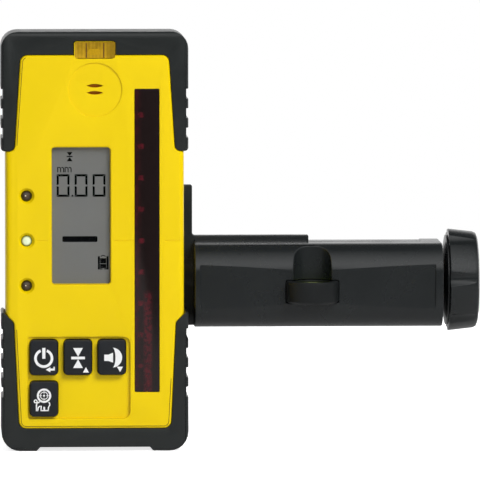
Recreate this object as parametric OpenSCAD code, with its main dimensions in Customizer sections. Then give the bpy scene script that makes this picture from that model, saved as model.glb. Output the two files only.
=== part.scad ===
// Laser receiver on a rod clamp. Sizes are in millimetres and +Z is up.
// Every module works from the receiver: x from its centre line, y back from its front panel, z up from its feet.
// placed() then shifts the whole thing so that the origin is the middle of the fixed jaw's pad.

/* [Receiver body] */
// Width across the rubber bumpers
receiver_w = 77; // [76:0.5:84]
// Height from the feet to the top bumper
receiver_h = 172.6; // [170:0.1:190]
// On-grade line above the middle of the receiver
grade_up = 0.5; // [0:0.1:1]
// Depth from the front panel to the rear panel
receiver_d = 29; // [28.5:0.5:34]
// How far the housing sides lie inside the bumpers
side_inset = 1.9; // [1.8:0.1:2.6]
// Wall of the two housing halves
shell_wall = 2.2; // [1.8:0.1:2.4]
// Front and rear panel thickness
panel_wall = 2.4; // [2.2:0.1:2.6]
// Depth of the parting plane behind the front panel
split_y = 15; // [13:0.5:17]
// Gasket thickness at the parting plane
gasket_t = 0.6; // [0.4:0.1:1]
// Edge radius of the housing sides
side_r = 2.2; // [1.6:0.2:2.8]

/* [Bumpers] */
// How far the panels stand proud of the bumpers
panel_proud = 0.6; // [0.3:0.1:1]
// Thickness of the bumper flanges that wrap the front and back
flange_t = 2.4; // [2.2:0.1:3]
// Rubber over the top of the housing
bumper_top_t = 3; // [3:0.5:5]
// Rubber under the housing, feet left out
bumper_bottom_t = 2.3; // [1.8:0.1:3]
// Height of the two feet
foot_h = 1.7; // [1:0.1:2.5]
// Inner edge of each foot from the centre line
foot_x = 24; // [18:0.5:26]
// Length of the top bumper's legs from the top of the receiver
top_leg_len = 49; // [44:0.1:54]
// Length of the bottom bumper's legs from the feet
bottom_leg_len = 58.4; // [56:0.1:60]
// How far the tip of a bottom leg slopes down towards the panel
bottom_tip_fall = 5.4; // [2:0.1:6]
// Width of a top leg where it leaves the corner
top_leg_root_w = 8; // [7.4:0.1:8.6]
// Width of a top leg at its tip
top_leg_tip_w = 5.5; // [5:0.1:6]
// Width of a bottom leg where it leaves the corner
bottom_leg_root_w = 7.2; // [6.8:0.1:7.6]
// Width of a bottom leg at its tip
bottom_leg_tip_w = 5.2; // [5:0.1:6]
// Band of rubber above the front panel
panel_top_margin = 9.5; // [9:0.1:12]
// Band of rubber below the front panel
panel_bottom_margin = 9.4; // [8.4:0.1:10]
// Corner radius of the top bumper
top_corner_r = 7; // [5:0.5:8]
// Corner radius of the bottom bumper
bottom_corner_r = 8; // [6:0.5:10]
// Edge radius of the rubber
bumper_edge_r = 1.6; // [1.6:0.2:3]
// Distance from one grip groove to the next
groove_pitch = 8; // [7:0.1:9]
// Height of one grip groove
groove_h = 4; // [3:0.1:5]
// Depth of one grip groove
groove_depth = 0.9; // [0.3:0.1:1]
// Grip grooves on each top leg
top_grooves = 3; // [1:1:4]
// Grip grooves on each bottom leg
bottom_grooves = 4; // [1:1:5]
// First groove's distance from the tip of a top leg
top_groove_start = 7.5; // [5:0.1:8]
// First groove's distance from the tip of a bottom leg
bottom_groove_start = 10; // [5:0.1:10]

/* [Display and detector] */
// Display window width
lcd_w = 24.6; // [20:0.2:26]
// Display window height
lcd_h = 56.8; // [45:0.2:58]
// Display centre from the centre line
lcd_x = -5.65; // [-8:0.05:-5]
// Display centre above the on-grade line
lcd_up = 10.3; // [6:0.1:14]
// Corner radius of the display window
lcd_corner_r = 1.2; // [0.6:0.1:2]
// Thickness of the display lens
lens_t = 0.8; // [0.6:0.1:1]
// How far the display lens lies below the panel
lens_recess = 0.6; // [0.3:0.1:0.8]
// Ledge that carries the display lens
lens_ledge = 0.4; // [0.3:0.1:1.2]
// Ledge that carries the detector window
ledge_w = 1; // [0.8:0.1:1.2]
// Thickness of the display panel
lcd_panel_t = 2.4; // [1.8:0.1:2.6]
// Detector window width
detector_w = 10.3; // [8:0.1:11]
// Mean distance from the ends of the receiver to the detector window
detector_margin = 23.9; // [23.5:0.1:31.5]
// Detector window centre from the centre line
detector_x = 21.4; // [20.6:0.1:22]
// Thickness of the detector window
detector_t = 1.75; // [1.5:0.05:1.8]
// Side of one photodiode
diode_size = 4.2; // [3:0.1:4.5]
// Distance from one photodiode to the next
diode_pitch = 5; // [4.8:0.1:5.1]
// Least clear length past each end of the photodiode column
diode_end = 2; // [1:0.1:32]

/* [Keys and lamps] */
// Key width
key_w = 11.3; // [10:0.1:11.9]
// Key height
key_h = 14.4; // [12:0.1:15]
// Corner radius of a key
key_corner_r = 1.6; // [1:0.1:3]
// How far a key stands proud of the panel
key_proud = 1.6; // [1.2:0.1:2.2]
// Stroke of a key
key_travel = 0.9; // [0.5:0.1:0.9]
// Distance between keys across
key_pitch_x = 13.95; // [13.8:0.05:14.2]
// Distance between keys down
key_pitch_z = 17.1; // [16.8:0.1:17.4]
// Centre of the first key from the centre line
key_x = -21; // [-22:0.1:-20.5]
// Centre of the first key row above the feet
key_z = 38.9; // [38:0.1:40]
// Lamp diameter
led_d = 5; // [4:0.5:5]
// Lamp column from the centre line
led_x = -28; // [-28.2:0.1:-26]
// Distance from one lamp to the next
led_pitch = 18.45; // [14:0.05:19]
// Diameter of the sound recess
sound_d = 22.2; // [18:0.2:23]
// Centre of the sound recess below the top of the receiver
sound_down = 23.8; // [23.4:0.1:25.5]
// Length of a sound slot
sound_slot_w = 6.8; // [5:0.1:9]
// Height of a sound slot at its middle
sound_slot_h = 1.5; // [1:0.1:2]

/* [Spirit level] */
// Level vial height and depth
vial_d = 6.5; // [5.5:0.1:6.6]
// Level vial length
vial_len = 15.5; // [13:0.1:15.6]
// Corner radius of the level vial
vial_corner_r = 1; // [0.6:0.1:1.2]
// Level vial centre below the top of the housing
vial_down = 4.7; // [4.6:0.05:5.2]

/* [Battery bay] */
// Cell diameter
cell_d = 14.3; // [13.8:0.1:14.5]
// Cell length
cell_len = 50.5; // [50:0.1:50.7]
// Wall of the battery box
bay_wall = 1.6; // [1.2:0.1:1.8]
// Battery door thickness
door_t = 2.2; // [2:0.1:2.4]
// Radius of the door's hinge barrel
hinge_r = 2; // [1.8:0.1:2.2]
// Diameter of the hinge pin
hinge_pin_d = 2; // [1.6:0.1:2.2]
// Diameter of the door lock's head
lock_d = 7.2; // [6.4:0.2:7.6]
// Reach of the door lock's tongue
lock_reach = 7.2; // [6.6:0.1:7.4]

/* [Bracket plate] */
// Plate thickness
plate_t = 5; // [4:0.2:6]
// Left end of the plate from the receiver's centre line
plate_left = -24; // [-30:0.5:-22]
// Top of the plate above the on-grade line
plate_up = 21; // [16:0.1:26]
// Length of the reading edge beyond the receiver
reading_edge_len = 48.3; // [30:0.1:54]
// Captive screw below the on-grade line
captive_down = 8.4; // [7.5:0.1:10]
// Captive screw diameter
captive_d = 6.35; // [6:0.05:6.4]
// Captive knob diameter
captive_knob_d = 26; // [20:0.5:28]
// Captive knob length
captive_knob_len = 11; // [8:0.5:14]
// Guide pin diameter
pin_d = 4; // [3:0.1:4.5]
// Distance between the guide pins
pin_span = 32; // [30:0.5:36]

/* [Clamp arm] */
// Arm length
arm_len = 102.6; // [102:0.1:120]
// Arm height
arm_h = 34.6; // [33:0.2:38]
// Arm centre below the on-grade line
arm_down = 20; // [19.4:0.1:20.4]
// Arm front face behind the receiver's front panel
arm_front = 9; // [7:0.2:10]
// Radius of the arm's front edges
arm_r = 12; // [10:0.2:13]
// Wall of the arm
arm_wall = 3; // [2.4:0.1:3.6]
// Gap between the receiver's side and the arm
arm_gap = 3; // [2:0.1:5]
// How far the front facets fall back at their outer ends
facet_fall = 0.65; // [0.3:0.05:1]
// Thickness of the wall that carries the screw bush
end_wall_t = 8; // [7:0.5:10]

/* [Jaws and screw] */
// Gap between the jaws as shown
rod_gap = 28; // [24:0.5:32]
// How much further the jaws open
jaw_travel = 38; // [30:0.5:38]
// Jaw depth behind the bracket plate
jaw_d = 25; // [24:0.5:30]
// Thickness of the fixed jaw
fixed_jaw_t = 6; // [5:0.5:8]
// Thickness of the moving jaw
moving_jaw_t = 12; // [11:0.5:12.5]
// Thickness of a jaw pad
pad_t = 2; // [1:0.2:3]
// Screw axis behind the bracket plate
screw_back = 12; // [11:0.5:14]
// Spindle diameter
spindle_d = 10; // [8:0.5:11]
// Outside diameter of the screw bush
bush_d = 16; // [14:0.5:20]

/* [Clamp knob] */
// Knob diameter
knob_d = 42.5; // [36:0.5:46]
// Knob length
knob_len = 12.2; // [10:0.1:16]
// Gap between the arm and the knob
knob_gap = 4.1; // [3.5:0.1:5]
// Flange diameter
flange_d = 37.5; // [28:0.5:40]
// Number of grip flutes
flutes = 7; // [5:1:10]
// Depth of a grip flute
flute_depth = 1.6; // [0.8:0.1:2]
// Radius of a grip flute
flute_r = 4; // [3:0.1:5]
// Turn of the first flute from straight ahead
flute_turn = 4.7; // [0:0.1:20]

/* [Round level] */
// Cup diameter
cup_d = 21.6; // [20:0.2:23]
// Cup height
cup_h = 9.2; // [8:0.1:10]
// Cup rim above the middle of the arm
cup_up = 2.5; // [1.5:0.1:3.5]
// Round vial diameter
round_vial_d = 17; // [14:0.2:17.4]
// Radius of the niche above the cup
niche_r = 7.8; // [7:0.1:9]

/* [Fits] */
// Gap between rubber and housing
rubber_gap = 0.15; // [0.1:0.05:0.3]
// Gap round a key in its opening
key_gap = 0.3; // [0.2:0.05:0.5]
// Gap round a set-in window
window_gap = 0.1; // [0.05:0.05:0.2]
// Gap round the battery door
door_gap = 0.3; // [0.2:0.05:0.5]
// Radial running clearance of a pin, screw or spindle
running_gap = 0.08; // [0.05:0.01:0.1]
// Sliding clearance of the moving jaw
slide_gap = 0.4; // [0.3:0.05:0.6]

/* [Hidden] */
$fn = 48;
// A cut runs this far past the face it opens
over = 1;
// Steps in each rounded corner of an outline
arc_steps = 6;
// Steps in each rounded edge of the arm, where its facets must show
fine_steps = 18;

// Receiver levels
half_w = receiver_w / 2;
body_hw = half_w - side_inset;
mid_z = receiver_h / 2 + grade_up;
core_front = panel_proud + flange_t;
core_back = receiver_d - core_front;
body_top = receiver_h - bumper_top_t;
body_bottom = foot_h + bumper_bottom_t;
body_corner_r = 5;
top_tip = receiver_h - top_leg_len;
bottom_tip = bottom_leg_len;
leg_tip_r = 2.5;
leg_edge_r = 1.5;
tip_edge_r = 0.8;
panel_corner_r = 3;
wall_gap = 0.1;
tab_wall = 0.65;
tab_hw = vial_len / 2 + tab_wall;
tab_top = body_top - vial_down + vial_d / 2 + tab_wall - 0.2;
half_front = split_y - gasket_t / 2;
half_back = split_y + gasket_t / 2;

// Electronics
board_y = 6;
board_t = 1.6;
board_hw = body_hw - shell_wall - 1.7;
board_top = receiver_h - 19;
board_bottom = panel_bottom_margin + 3;
detector_h = receiver_h - 2 * detector_margin;
diodes = floor((detector_h - 2 * diode_end) / diode_pitch);
mat_t = 1;
switch_size = 6;
switch_top = board_y - 1.25;
key_end = switch_top - 1;
lcd_z = mid_z + lcd_up;
sound_z = receiver_h - sound_down;
sound_x = 0.1;
sound_sink = 0.5;
sound_slot_lift = [1.65, -1.25];
buzzer_d = 18;
buzzer_t = 3;
vial_x = 0.2;
vial_z = body_top - vial_down;
vial_front = 0.2;
vial_room = 0.1;
led_tip = -0.3;
led_flange_d = led_d + 0.9;
key_at = [
    [key_x, key_z],
    [key_x + key_pitch_x, key_z],
    [key_x + 2 * key_pitch_x, key_z],
    [key_x, key_z - key_pitch_z]
];
key_skirt = 0.7;

// Keypad recess: it is deepest at its upper right corner
recess_left = key_x - key_w / 2 - 0.95;
recess_right = key_x + 2 * key_pitch_x + key_w / 2 + 1.95;
recess_top = key_z + key_h / 2 + 1.2;
recess_bottom = key_z - key_pitch_z - key_h / 2 - 1.1;
recess_depth = 1.2;
recess_tilt_x = 0.5;
recess_tilt_z = 0.6;

// Housing screws and board posts
boss_x = body_hw - 5.4;
boss_at = [
    [boss_x, bottom_tip + 4],
    [-boss_x, bottom_tip + 4],
    [boss_x, top_tip - 7.3],
    [-boss_x, top_tip - 7.3],
    [22, receiver_h - panel_top_margin - 4.8],
    [-22, receiver_h - panel_top_margin - 4.8]
];
boss_r = 2.6;
rear_boss_r = 3.6;
pilot_r = 1.5;
screw_shank_r = 1.45;
screw_hole_r = 1.7;
screw_head_r = 2.8;
screw_head_t = 2;
screw_seat = receiver_d - 4;
post_r = 1.8;
post_high = board_top - 20;
post_low = board_bottom + 21.6;
post_at = [
    [boss_x, post_high],
    [-boss_x, post_high],
    [boss_x, post_low],
    [-boss_x, post_low]
];

// Battery bay
bay_gap = 0.3;
cell_y = receiver_d - door_t - 0.5 - cell_d / 2;
bay_front = cell_y - cell_d / 2 - bay_gap;
door_bottom = panel_bottom_margin + 2;
hinge_y = receiver_d - hinge_r;
hinge_z = door_bottom + hinge_r;
bay_bottom = door_bottom + 2.1;
cell_low = bay_bottom + bay_gap + cell_d / 2;
cell_high = cell_low + cell_d + 0.5;
bay_top = cell_high + cell_d / 2 + bay_gap;
contact_room = 1.75;
contact_t = 0.5;
bay_hw = cell_len / 2 + contact_room;
door_hw = bay_hw + 1.6;
lock_z = bay_top + 1.2;
door_top = lock_z + lock_d / 2 + 1;
door_inner = receiver_d - door_t;
seal_t = 0.6;
ledge_y = door_inner - seal_t - 0.2;
lock_shaft_r = 2;
lock_head_t = 1.2;
tongue_w = 4;
tongue_t = 1.4;
tongue_clear = 0.4;
tongue_y = door_inner - seal_t - tongue_clear - tongue_t;
lock_room_top = lock_z + lock_reach + 1;
nub_r = 2.7;
nub_len = 1.3;

// Bracket and clamp
plate_y = receiver_d;
plate_back = plate_y + plate_t;
arm_z = mid_z - arm_down;
arm_bottom = arm_z - arm_h / 2;
arm_top = arm_z + arm_h / 2;
arm_left = half_w + arm_gap;
arm_right = arm_left + arm_len;
wall_left = arm_right - end_wall_t;
plate_side = half_w + 2.5;
edge_right = plate_side + reading_edge_len;
captive_z = mid_z - captive_down;
insert_r = captive_d / 2 + 1.35;
insert_len = 9;
insert_front = receiver_d - insert_len;
pin_reach = 4;
screw_y = plate_back + screw_back;
jaw_back = plate_back + jaw_d;
fixed_jaw_left = arm_left + 4.5;
fixed_jaw_right = fixed_jaw_left + fixed_jaw_t;
fixed_pad_face = fixed_jaw_right + pad_t;
moving_pad_face = fixed_pad_face + rod_gap;
jaw_left = moving_pad_face + pad_t;
jaw_right = jaw_left + moving_jaw_t;
rail_h = 2.6;
rail_d = 6;
jaw_hh = arm_h / 2 - rail_h - 0.7;
pad_hh = jaw_hh - 1;
pad_hd = 10.5;
tongue_hh = 3.7;
tongue_in = 4;
socket_r = 4;
socket_len = 7.5;
neck_r = 3;
retainer_t = 1.2;
cup_x = (arm_left + arm_right) / 2 - 2.9;
cup_top = arm_z + cup_up;
cup_bottom = cup_top - cup_h;
cup_floor = 2;
well_r = cup_d / 2 + 2;
knob_left = arm_right + knob_gap;
knob_right = knob_left + knob_len;
knob_rim = 7;
cap_depth = 1;
cap_sunk = 0.2;
spindle_in = 8;
arm_screw_lift = 10;
arm_screw_at = [
    for (x = [arm_left + 18.5, wall_left - 8])
        for (lift = [-arm_screw_lift, arm_screw_lift])
            [x, arm_z + lift]
];
arm_boss_r = 3.4;
arm_screw_len = 14;

// The origin: the middle of the fixed jaw pad's face
rod_seat = [fixed_pad_face, screw_y, arm_z];

// Colours of the preview
yellow = [0.95, 0.81, 0.05];
rubber = [0.16, 0.17, 0.17];
plastic = [0.2, 0.21, 0.22];
steel = [0.7, 0.71, 0.73];
brass = [0.8, 0.66, 0.3];
green = [0.1, 0.4, 0.2];

// Outlines: each corner is [x, y, radius], and a rounded corner becomes an arc

function unit(v) = v / norm(v);

function flat(p) = [p[0], p[1]];

// The points of one corner at p, between the corners before and after it
function corner(before, p, after, steps) =
    p[2] <= 0 ? [flat(p)] :
    let (
        a = unit(flat(before) - flat(p)),
        b = unit(flat(after) - flat(p)),
        half = acos(a * b) / 2,
        centre = flat(p) + unit(a + b) * p[2] / sin(half),
        start = flat(p) + a * p[2] / tan(half) - centre,
        end = flat(p) + b * p[2] / tan(half) - centre,
        from = atan2(start[1], start[0]),
        turn = (atan2(end[1], end[0]) - from + 540) % 360 - 180
    )
    [for (i = [0 : steps]) centre + p[2] * [cos(from + turn * i / steps), sin(from + turn * i / steps)]];

function rounded(p, steps) =
    let (n = len(p))
    [for (i = [0 : n - 1]) each corner(p[(i + n - 1) % n], p[i], p[(i + 1) % n], steps)];

// The same corners on the left side, in the opposite order
function mirrored(p) = [for (i = [len(p) - 1 : -1 : 0]) [-p[i][0], p[i][1], p[i][2]]];

function both_sides(p) = concat(p, mirrored(p));

function box_points(x0, y0, x1, y1, r) = [[x0, y0, r], [x1, y0, r], [x1, y1, r], [x0, y1, r]];

module shape(p, steps = arc_steps) {
    polygon(rounded(p, steps));
}

module rounded_box(x0, y0, x1, y1, r) {
    shape(box_points(x0, y0, x1, y1, r));
}

// An outline in x and z, carried from depth y0 back to depth y1
module along_y(y0, y1) {
    translate([0, y1, 0])
        rotate([90, 0, 0])
            linear_extrude(y1 - y0)
                children();
}

// An outline in y and z, carried from x0 to x1
module along_x(x0, x1) {
    translate([x0, 0, 0])
        rotate([90, 0, 90])
            linear_extrude(x1 - x0)
                children();
}

// An outline in x and y, carried from z0 to z1
module along_z(z0, z1) {
    translate([0, 0, z0])
        linear_extrude(z1 - z0)
            children();
}

// A round bar that runs back from depth y0 to depth y1 at x and z
module bar_y(at, r, y0, y1) {
    translate([at[0], y0, at[1]])
        rotate([-90, 0, 0])
            cylinder(r = r, h = y1 - y0);
}

// A round bar from x0 to x1 at y and z
module bar_x(at, r, x0, x1) {
    translate([x0, at[0], at[1]])
        rotate([0, 90, 0])
            cylinder(r = r, h = x1 - x0);
}

// A profile in x (as height) and radius, turned about the line along x at y and z
module turned_x(at, x0) {
    translate([x0, at[0], at[1]])
        rotate([0, 90, 0])
            rotate_extrude()
                children();
}

module placed() {
    translate(-rod_seat)
        children();
}

// Housing outlines, seen from the front

// Height of a bottom leg's sloped tip at x
function tip_slope(x) = bottom_tip - bottom_tip_fall * (half_w - x) / bottom_leg_tip_w;

// The sides of a panel from the bottom up, drawn in by inset
function panel_side(inset) = [
    [half_w - bottom_leg_root_w - inset, panel_bottom_margin + inset, panel_corner_r],
    [half_w - bottom_leg_tip_w - inset, bottom_tip - bottom_tip_fall + inset, leg_tip_r],
    [body_hw - max(inset - rubber_gap, 0), tip_slope(body_hw) + inset, 0],
    [body_hw - max(inset - rubber_gap, 0), top_tip - inset, 0],
    [half_w - top_leg_tip_w - inset, top_tip - inset, leg_tip_r],
    [half_w - top_leg_root_w - inset, receiver_h - panel_top_margin - inset, panel_corner_r]
];

// The tab that frames the level vial at the top of the front panel
function vial_tab(grow) = [
    [tab_hw + grow, receiver_h - panel_top_margin - rubber_gap, 0],
    [tab_hw + grow, tab_top + grow, vial_corner_r]
];

module core_outline(inset) {
    rounded_box(inset - body_hw, body_bottom + inset, body_hw - inset, body_top - inset, body_corner_r - inset / 2);
}

module side_rounding(hw, y0, y1, r) {
    along_z(-over, receiver_h + over)
        rounded_box(-hw, y0, hw, y1, r);
}

// Level vial pocket
module vial_pocket() {
    along_y(-over, vial_d + 2 * vial_room)
        rounded_box(
            vial_x - vial_len / 2 - vial_room,
            vial_z - vial_d / 2 - vial_room,
            vial_x + vial_len / 2 + vial_room,
            vial_z + vial_d / 2 + vial_room,
            vial_corner_r
        );
}

// A lens-shaped sound slot
module sound_slot(lift) {
    arc_r = (pow(sound_slot_w / 2, 2) + pow(sound_slot_h / 2, 2)) / sound_slot_h;
    intersection() {
        translate([sound_x, sound_z + lift + arc_r - sound_slot_h / 2])
            circle(arc_r);
        translate([sound_x, sound_z + lift - arc_r + sound_slot_h / 2])
            circle(arc_r);
    }
}

// The sloped floor of the keypad recess
module keypad_recess() {
    intersection() {
        along_y(-over, 2 * recess_depth)
            shape([
                [recess_left, recess_bottom, 1],
                [recess_right, recess_bottom, 3],
                [recess_right, recess_top, 3],
                [recess_left, recess_top, 1]
            ]);
        translate([recess_right, recess_depth, recess_top])
            rotate([recess_tilt_z, 0, recess_tilt_x])
                translate([-half_w * 2, -10, -receiver_h])
                    cube([half_w * 4, 10, receiver_h * 2]);
    }
}

// Short lines across the front that mark the on-grade height
module index_lines() {
    line_h = 0.45;
    line_depth = 0.22;
    for (span = [[led_x + 4.2, lcd_x - lcd_w / 2 - 1.5], [lcd_x + lcd_w / 2 + 1.2, detector_x - detector_w / 2 - 0.4],
                 [detector_x + detector_w / 2 + 1.9, body_hw - 1.2]])
        along_y(-over, line_depth)
            rounded_box(span[0], mid_z - line_h / 2, span[1], mid_z + line_h / 2, 0);
}

module front_housing() {
    color(yellow)
        difference() {
            union() {
                intersection() {
                    difference() {
                        union() {
                            along_y(core_front, half_front)
                                core_outline(0);
                            along_y(0, core_front)
                                shape(concat(panel_side(rubber_gap), vial_tab(0), mirrored(vial_tab(0)),
                                             mirrored(panel_side(rubber_gap))));
                        }
                        along_y(core_front + shell_wall, half_front + over)
                            core_outline(shell_wall);
                        along_y(panel_wall, core_front + shell_wall + over)
                            shape(both_sides(panel_side(shell_wall)));
                    }
                    side_rounding(body_hw, 0, receiver_d, side_r);
                }
                along_y(core_front, vial_d + 2 * vial_room + 1.4)
                    rounded_box(-tab_hw - 1, vial_z - vial_d / 2 - 1.6, tab_hw + 1, body_top - 0.5, 0);
                for (at = boss_at)
                    bar_y(at, boss_r, panel_wall - 0.2, half_front);
                for (at = post_at)
                    bar_y(at, post_r, core_front + 0.5, board_y);
            }
            vial_pocket();
            along_y(-over, lens_recess + lens_t)
                rounded_box(lcd_x - lcd_w / 2, lcd_z - lcd_h / 2, lcd_x + lcd_w / 2, lcd_z + lcd_h / 2, lcd_corner_r);
            along_y(-over, panel_wall + over)
                rounded_box(
                    lcd_x - lcd_w / 2 + lens_ledge,
                    lcd_z - lcd_h / 2 + lens_ledge,
                    lcd_x + lcd_w / 2 - lens_ledge,
                    lcd_z + lcd_h / 2 - lens_ledge,
                    lcd_corner_r - lens_ledge / 2
                );
            along_y(-over, detector_t + window_gap)
                rounded_box(
                    detector_x - detector_w / 2,
                    mid_z - detector_h / 2,
                    detector_x + detector_w / 2,
                    mid_z + detector_h / 2,
                    0.5
                );
            along_y(-over, panel_wall + over)
                rounded_box(
                    detector_x - detector_w / 2 + ledge_w,
                    mid_z - detector_h / 2 + ledge_w,
                    detector_x + detector_w / 2 - ledge_w,
                    mid_z + detector_h / 2 - ledge_w,
                    0
                );
            keypad_recess();
            for (at = key_at)
                along_y(-over, panel_wall + over)
                    key_outline(at, key_gap);
            for (i = [-1 : 1])
                led_hole(mid_z + i * led_pitch);
            bar_y([sound_x, sound_z], sound_d / 2, -over, sound_sink);
            for (lift = sound_slot_lift)
                along_y(-over, panel_wall + over)
                    sound_slot(lift);
            index_lines();
            for (at = boss_at)
                bar_y(at, pilot_r, panel_wall + 1.6, half_front + over);
        }
}

module led_hole(z) {
    bar_y([led_x, z], led_d / 2 + 0.15, -over, panel_wall + over);
    translate([led_x, -0.01, z])
        rotate([-90, 0, 0])
            cylinder(r1 = led_d / 2 + 0.8, r2 = led_d / 2 + 0.15, h = 0.8);
}

module rear_housing() {
    color(yellow)
        difference() {
            union() {
                intersection() {
                    difference() {
                        union() {
                            along_y(half_back, core_back)
                                core_outline(0);
                            along_y(core_back, receiver_d)
                                shape(both_sides(panel_side(rubber_gap)));
                        }
                        along_y(half_back - over, core_back - shell_wall)
                            core_outline(shell_wall);
                        along_y(core_back - shell_wall - over, receiver_d - panel_wall)
                            shape(both_sides(panel_side(shell_wall)));
                    }
                    side_rounding(body_hw, 0, receiver_d, side_r);
                }
                battery_box();
                for (at = boss_at)
                    bar_y(at, rear_boss_r, half_back, receiver_d - panel_wall + 0.2);
                for (at = post_at)
                    bar_y(at, post_r, board_y + board_t, core_back - shell_wall + 0.5);
                bar_y([0, captive_z], insert_r + 3, insert_front - 2, receiver_d - panel_wall + 0.2);
                for (side = [-1, 1])
                    bar_y([side * pin_span / 2, captive_z], pin_d / 2 + 2, receiver_d - pin_reach - 2,
                          receiver_d - panel_wall + 0.2);
            }
            battery_room();
            for (at = boss_at) {
                bar_y(at, screw_hole_r, half_back - over, receiver_d);
                bar_y(at, screw_head_r + 0.3, screw_seat, receiver_d + over);
            }
            bar_y([0, captive_z], insert_r, insert_front, receiver_d + over);
            for (side = [-1, 1])
                bar_y([side * pin_span / 2, captive_z], pin_d / 2 + running_gap, receiver_d - pin_reach - 0.5,
                      receiver_d + over);
        }
}

// The box that keeps the cells apart from the electronics
module battery_box() {
    along_y(bay_front - bay_wall, receiver_d - panel_wall + 0.2)
        rounded_box(-bay_hw - bay_wall, bay_bottom - bay_wall, bay_hw + bay_wall, bay_top + bay_wall, 0);
    along_y(tongue_y - 0.6 - bay_wall, receiver_d - panel_wall + 0.2)
        rounded_box(-door_hw - 1.4, door_bottom - 1.6, door_hw + 1.4, lock_room_top + bay_wall, 0);
}

module battery_room() {
    along_y(bay_front, receiver_d + over)
        rounded_box(-bay_hw, bay_bottom, bay_hw, bay_top, 0);
    along_y(ledge_y, receiver_d + over)
        rounded_box(-door_hw - door_gap, door_bottom - door_gap, door_hw + door_gap, door_top + door_gap, 0);
    along_y(tongue_y - 0.6, receiver_d - panel_wall)
        rounded_box(-lock_d / 2 - 0.5, lock_z - lock_d / 2 - 2, lock_reach + 1, lock_room_top, 0);
    bar_x([hinge_y, hinge_z], hinge_r + door_gap, -door_hw - door_gap, door_hw + door_gap);
    bar_x([hinge_y, hinge_z], hinge_pin_d / 2, -door_hw - 1.9, door_hw + 1.9);
}

module housing_gasket() {
    color(rubber)
        along_y(half_front, half_back)
            difference() {
                core_outline(0);
                core_outline(shell_wall);
            }
}

module housing_screws() {
    color(steel)
        for (at = boss_at) {
            bar_y(at, screw_shank_r, board_y + 2.5, screw_seat + 0.5);
            bar_y(at, screw_head_r, screw_seat, screw_seat + screw_head_t);
        }
}

// Bumpers: a wall round the housing with a flange in front and one behind

module top_flange(tab) {
    tip = half_w - top_leg_tip_w;
    root = half_w - top_leg_root_w;
    edge = receiver_h - panel_top_margin;
    outer = [[half_w, receiver_h, top_corner_r], [half_w, top_tip, leg_edge_r]];
    inner = [[tip, top_tip, leg_tip_r], [root, edge, panel_corner_r]];
    notch = [[tab_hw + rubber_gap, edge, 0], [tab_hw + rubber_gap, tab_top + rubber_gap, vial_corner_r]];
    right = concat(outer, inner, tab ? notch : []);
    shape(both_sides(right));
}

module top_wall() {
    inner = body_hw + wall_gap;
    right = [
        [half_w, receiver_h, top_corner_r],
        [half_w, top_tip, leg_edge_r],
        [inner, top_tip, 0],
        [inner, body_top + wall_gap, body_corner_r]
    ];
    shape(both_sides(right));
}

// Grip grooves on both outer sides, first one at z and the rest a pitch apart
module grip_grooves(first, step, count) {
    for (i = [0 : count - 1])
        for (side = [-1, 1])
            translate([side * half_w, receiver_d / 2, first + i * step])
                cube([2 * groove_depth, receiver_d * 2, groove_h], center = true);
}

module top_bumper() {
    color(rubber)
        difference() {
            intersection() {
                union() {
                    along_y(panel_proud, core_front)
                        top_flange(true);
                    along_y(core_front, core_back)
                        top_wall();
                    along_y(core_back, receiver_d - panel_proud)
                        top_flange(false);
                }
                side_rounding(half_w, panel_proud, receiver_d - panel_proud, bumper_edge_r);
                along_x(-half_w - over, half_w + over)
                    shape([
                        [panel_proud, mid_z, 0],
                        [receiver_d - panel_proud, mid_z, 0],
                        [receiver_d - panel_proud, receiver_h, bumper_edge_r],
                        [panel_proud, receiver_h, bumper_edge_r]
                    ]);
            }
            grip_grooves(top_tip + top_groove_start, groove_pitch, top_grooves);
        }
}

// The underside, with its two feet, from the middle to the right
function foot_side() = [
    [foot_x - 1.4, foot_h, 0.6],
    [foot_x, 0, 0.6],
    [half_w, 0, bottom_corner_r],
    [half_w, bottom_tip, tip_edge_r]
];

module bottom_flange() {
    inner = [
        [half_w - bottom_leg_tip_w, bottom_tip - bottom_tip_fall, leg_tip_r],
        [half_w - bottom_leg_root_w, panel_bottom_margin, panel_corner_r]
    ];
    shape(both_sides(concat(foot_side(), inner)));
}

module bottom_wall() {
    inner = [
        [body_hw + wall_gap, tip_slope(body_hw + wall_gap), 0],
        [body_hw + wall_gap, body_bottom - wall_gap, body_corner_r]
    ];
    shape(both_sides(concat(foot_side(), inner)));
}

module bottom_bumper() {
    color(rubber)
        difference() {
            intersection() {
                union() {
                    along_y(panel_proud, core_front)
                        bottom_flange();
                    along_y(core_front, core_back)
                        bottom_wall();
                    along_y(core_back, receiver_d - panel_proud)
                        bottom_flange();
                }
                side_rounding(half_w, panel_proud, receiver_d - panel_proud, bumper_edge_r);
                along_x(-half_w - over, half_w + over)
                    shape([
                        [panel_proud, 0, bumper_edge_r],
                        [receiver_d - panel_proud, 0, bumper_edge_r],
                        [receiver_d - panel_proud, mid_z, 0],
                        [panel_proud, mid_z, 0]
                    ]);
            }
            grip_grooves(bottom_tip - bottom_groove_start, -groove_pitch, bottom_grooves);
        }
}

// Windows and electronics

module detector_window() {
    color([0.25, 0.05, 0.07])
        along_y(window_gap, detector_t + window_gap)
            rounded_box(
                detector_x - detector_w / 2 + window_gap,
                mid_z - detector_h / 2 + window_gap,
                detector_x + detector_w / 2 - window_gap,
                mid_z + detector_h / 2 - window_gap,
                0.4
            );
}

module lcd_lens() {
    color([0.8, 0.85, 0.85])
        along_y(lens_recess, lens_recess + lens_t)
            rounded_box(
                lcd_x - lcd_w / 2 + window_gap,
                lcd_z - lcd_h / 2 + window_gap,
                lcd_x + lcd_w / 2 - window_gap,
                lcd_z + lcd_h / 2 - window_gap,
                lcd_corner_r
            );
}

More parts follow.
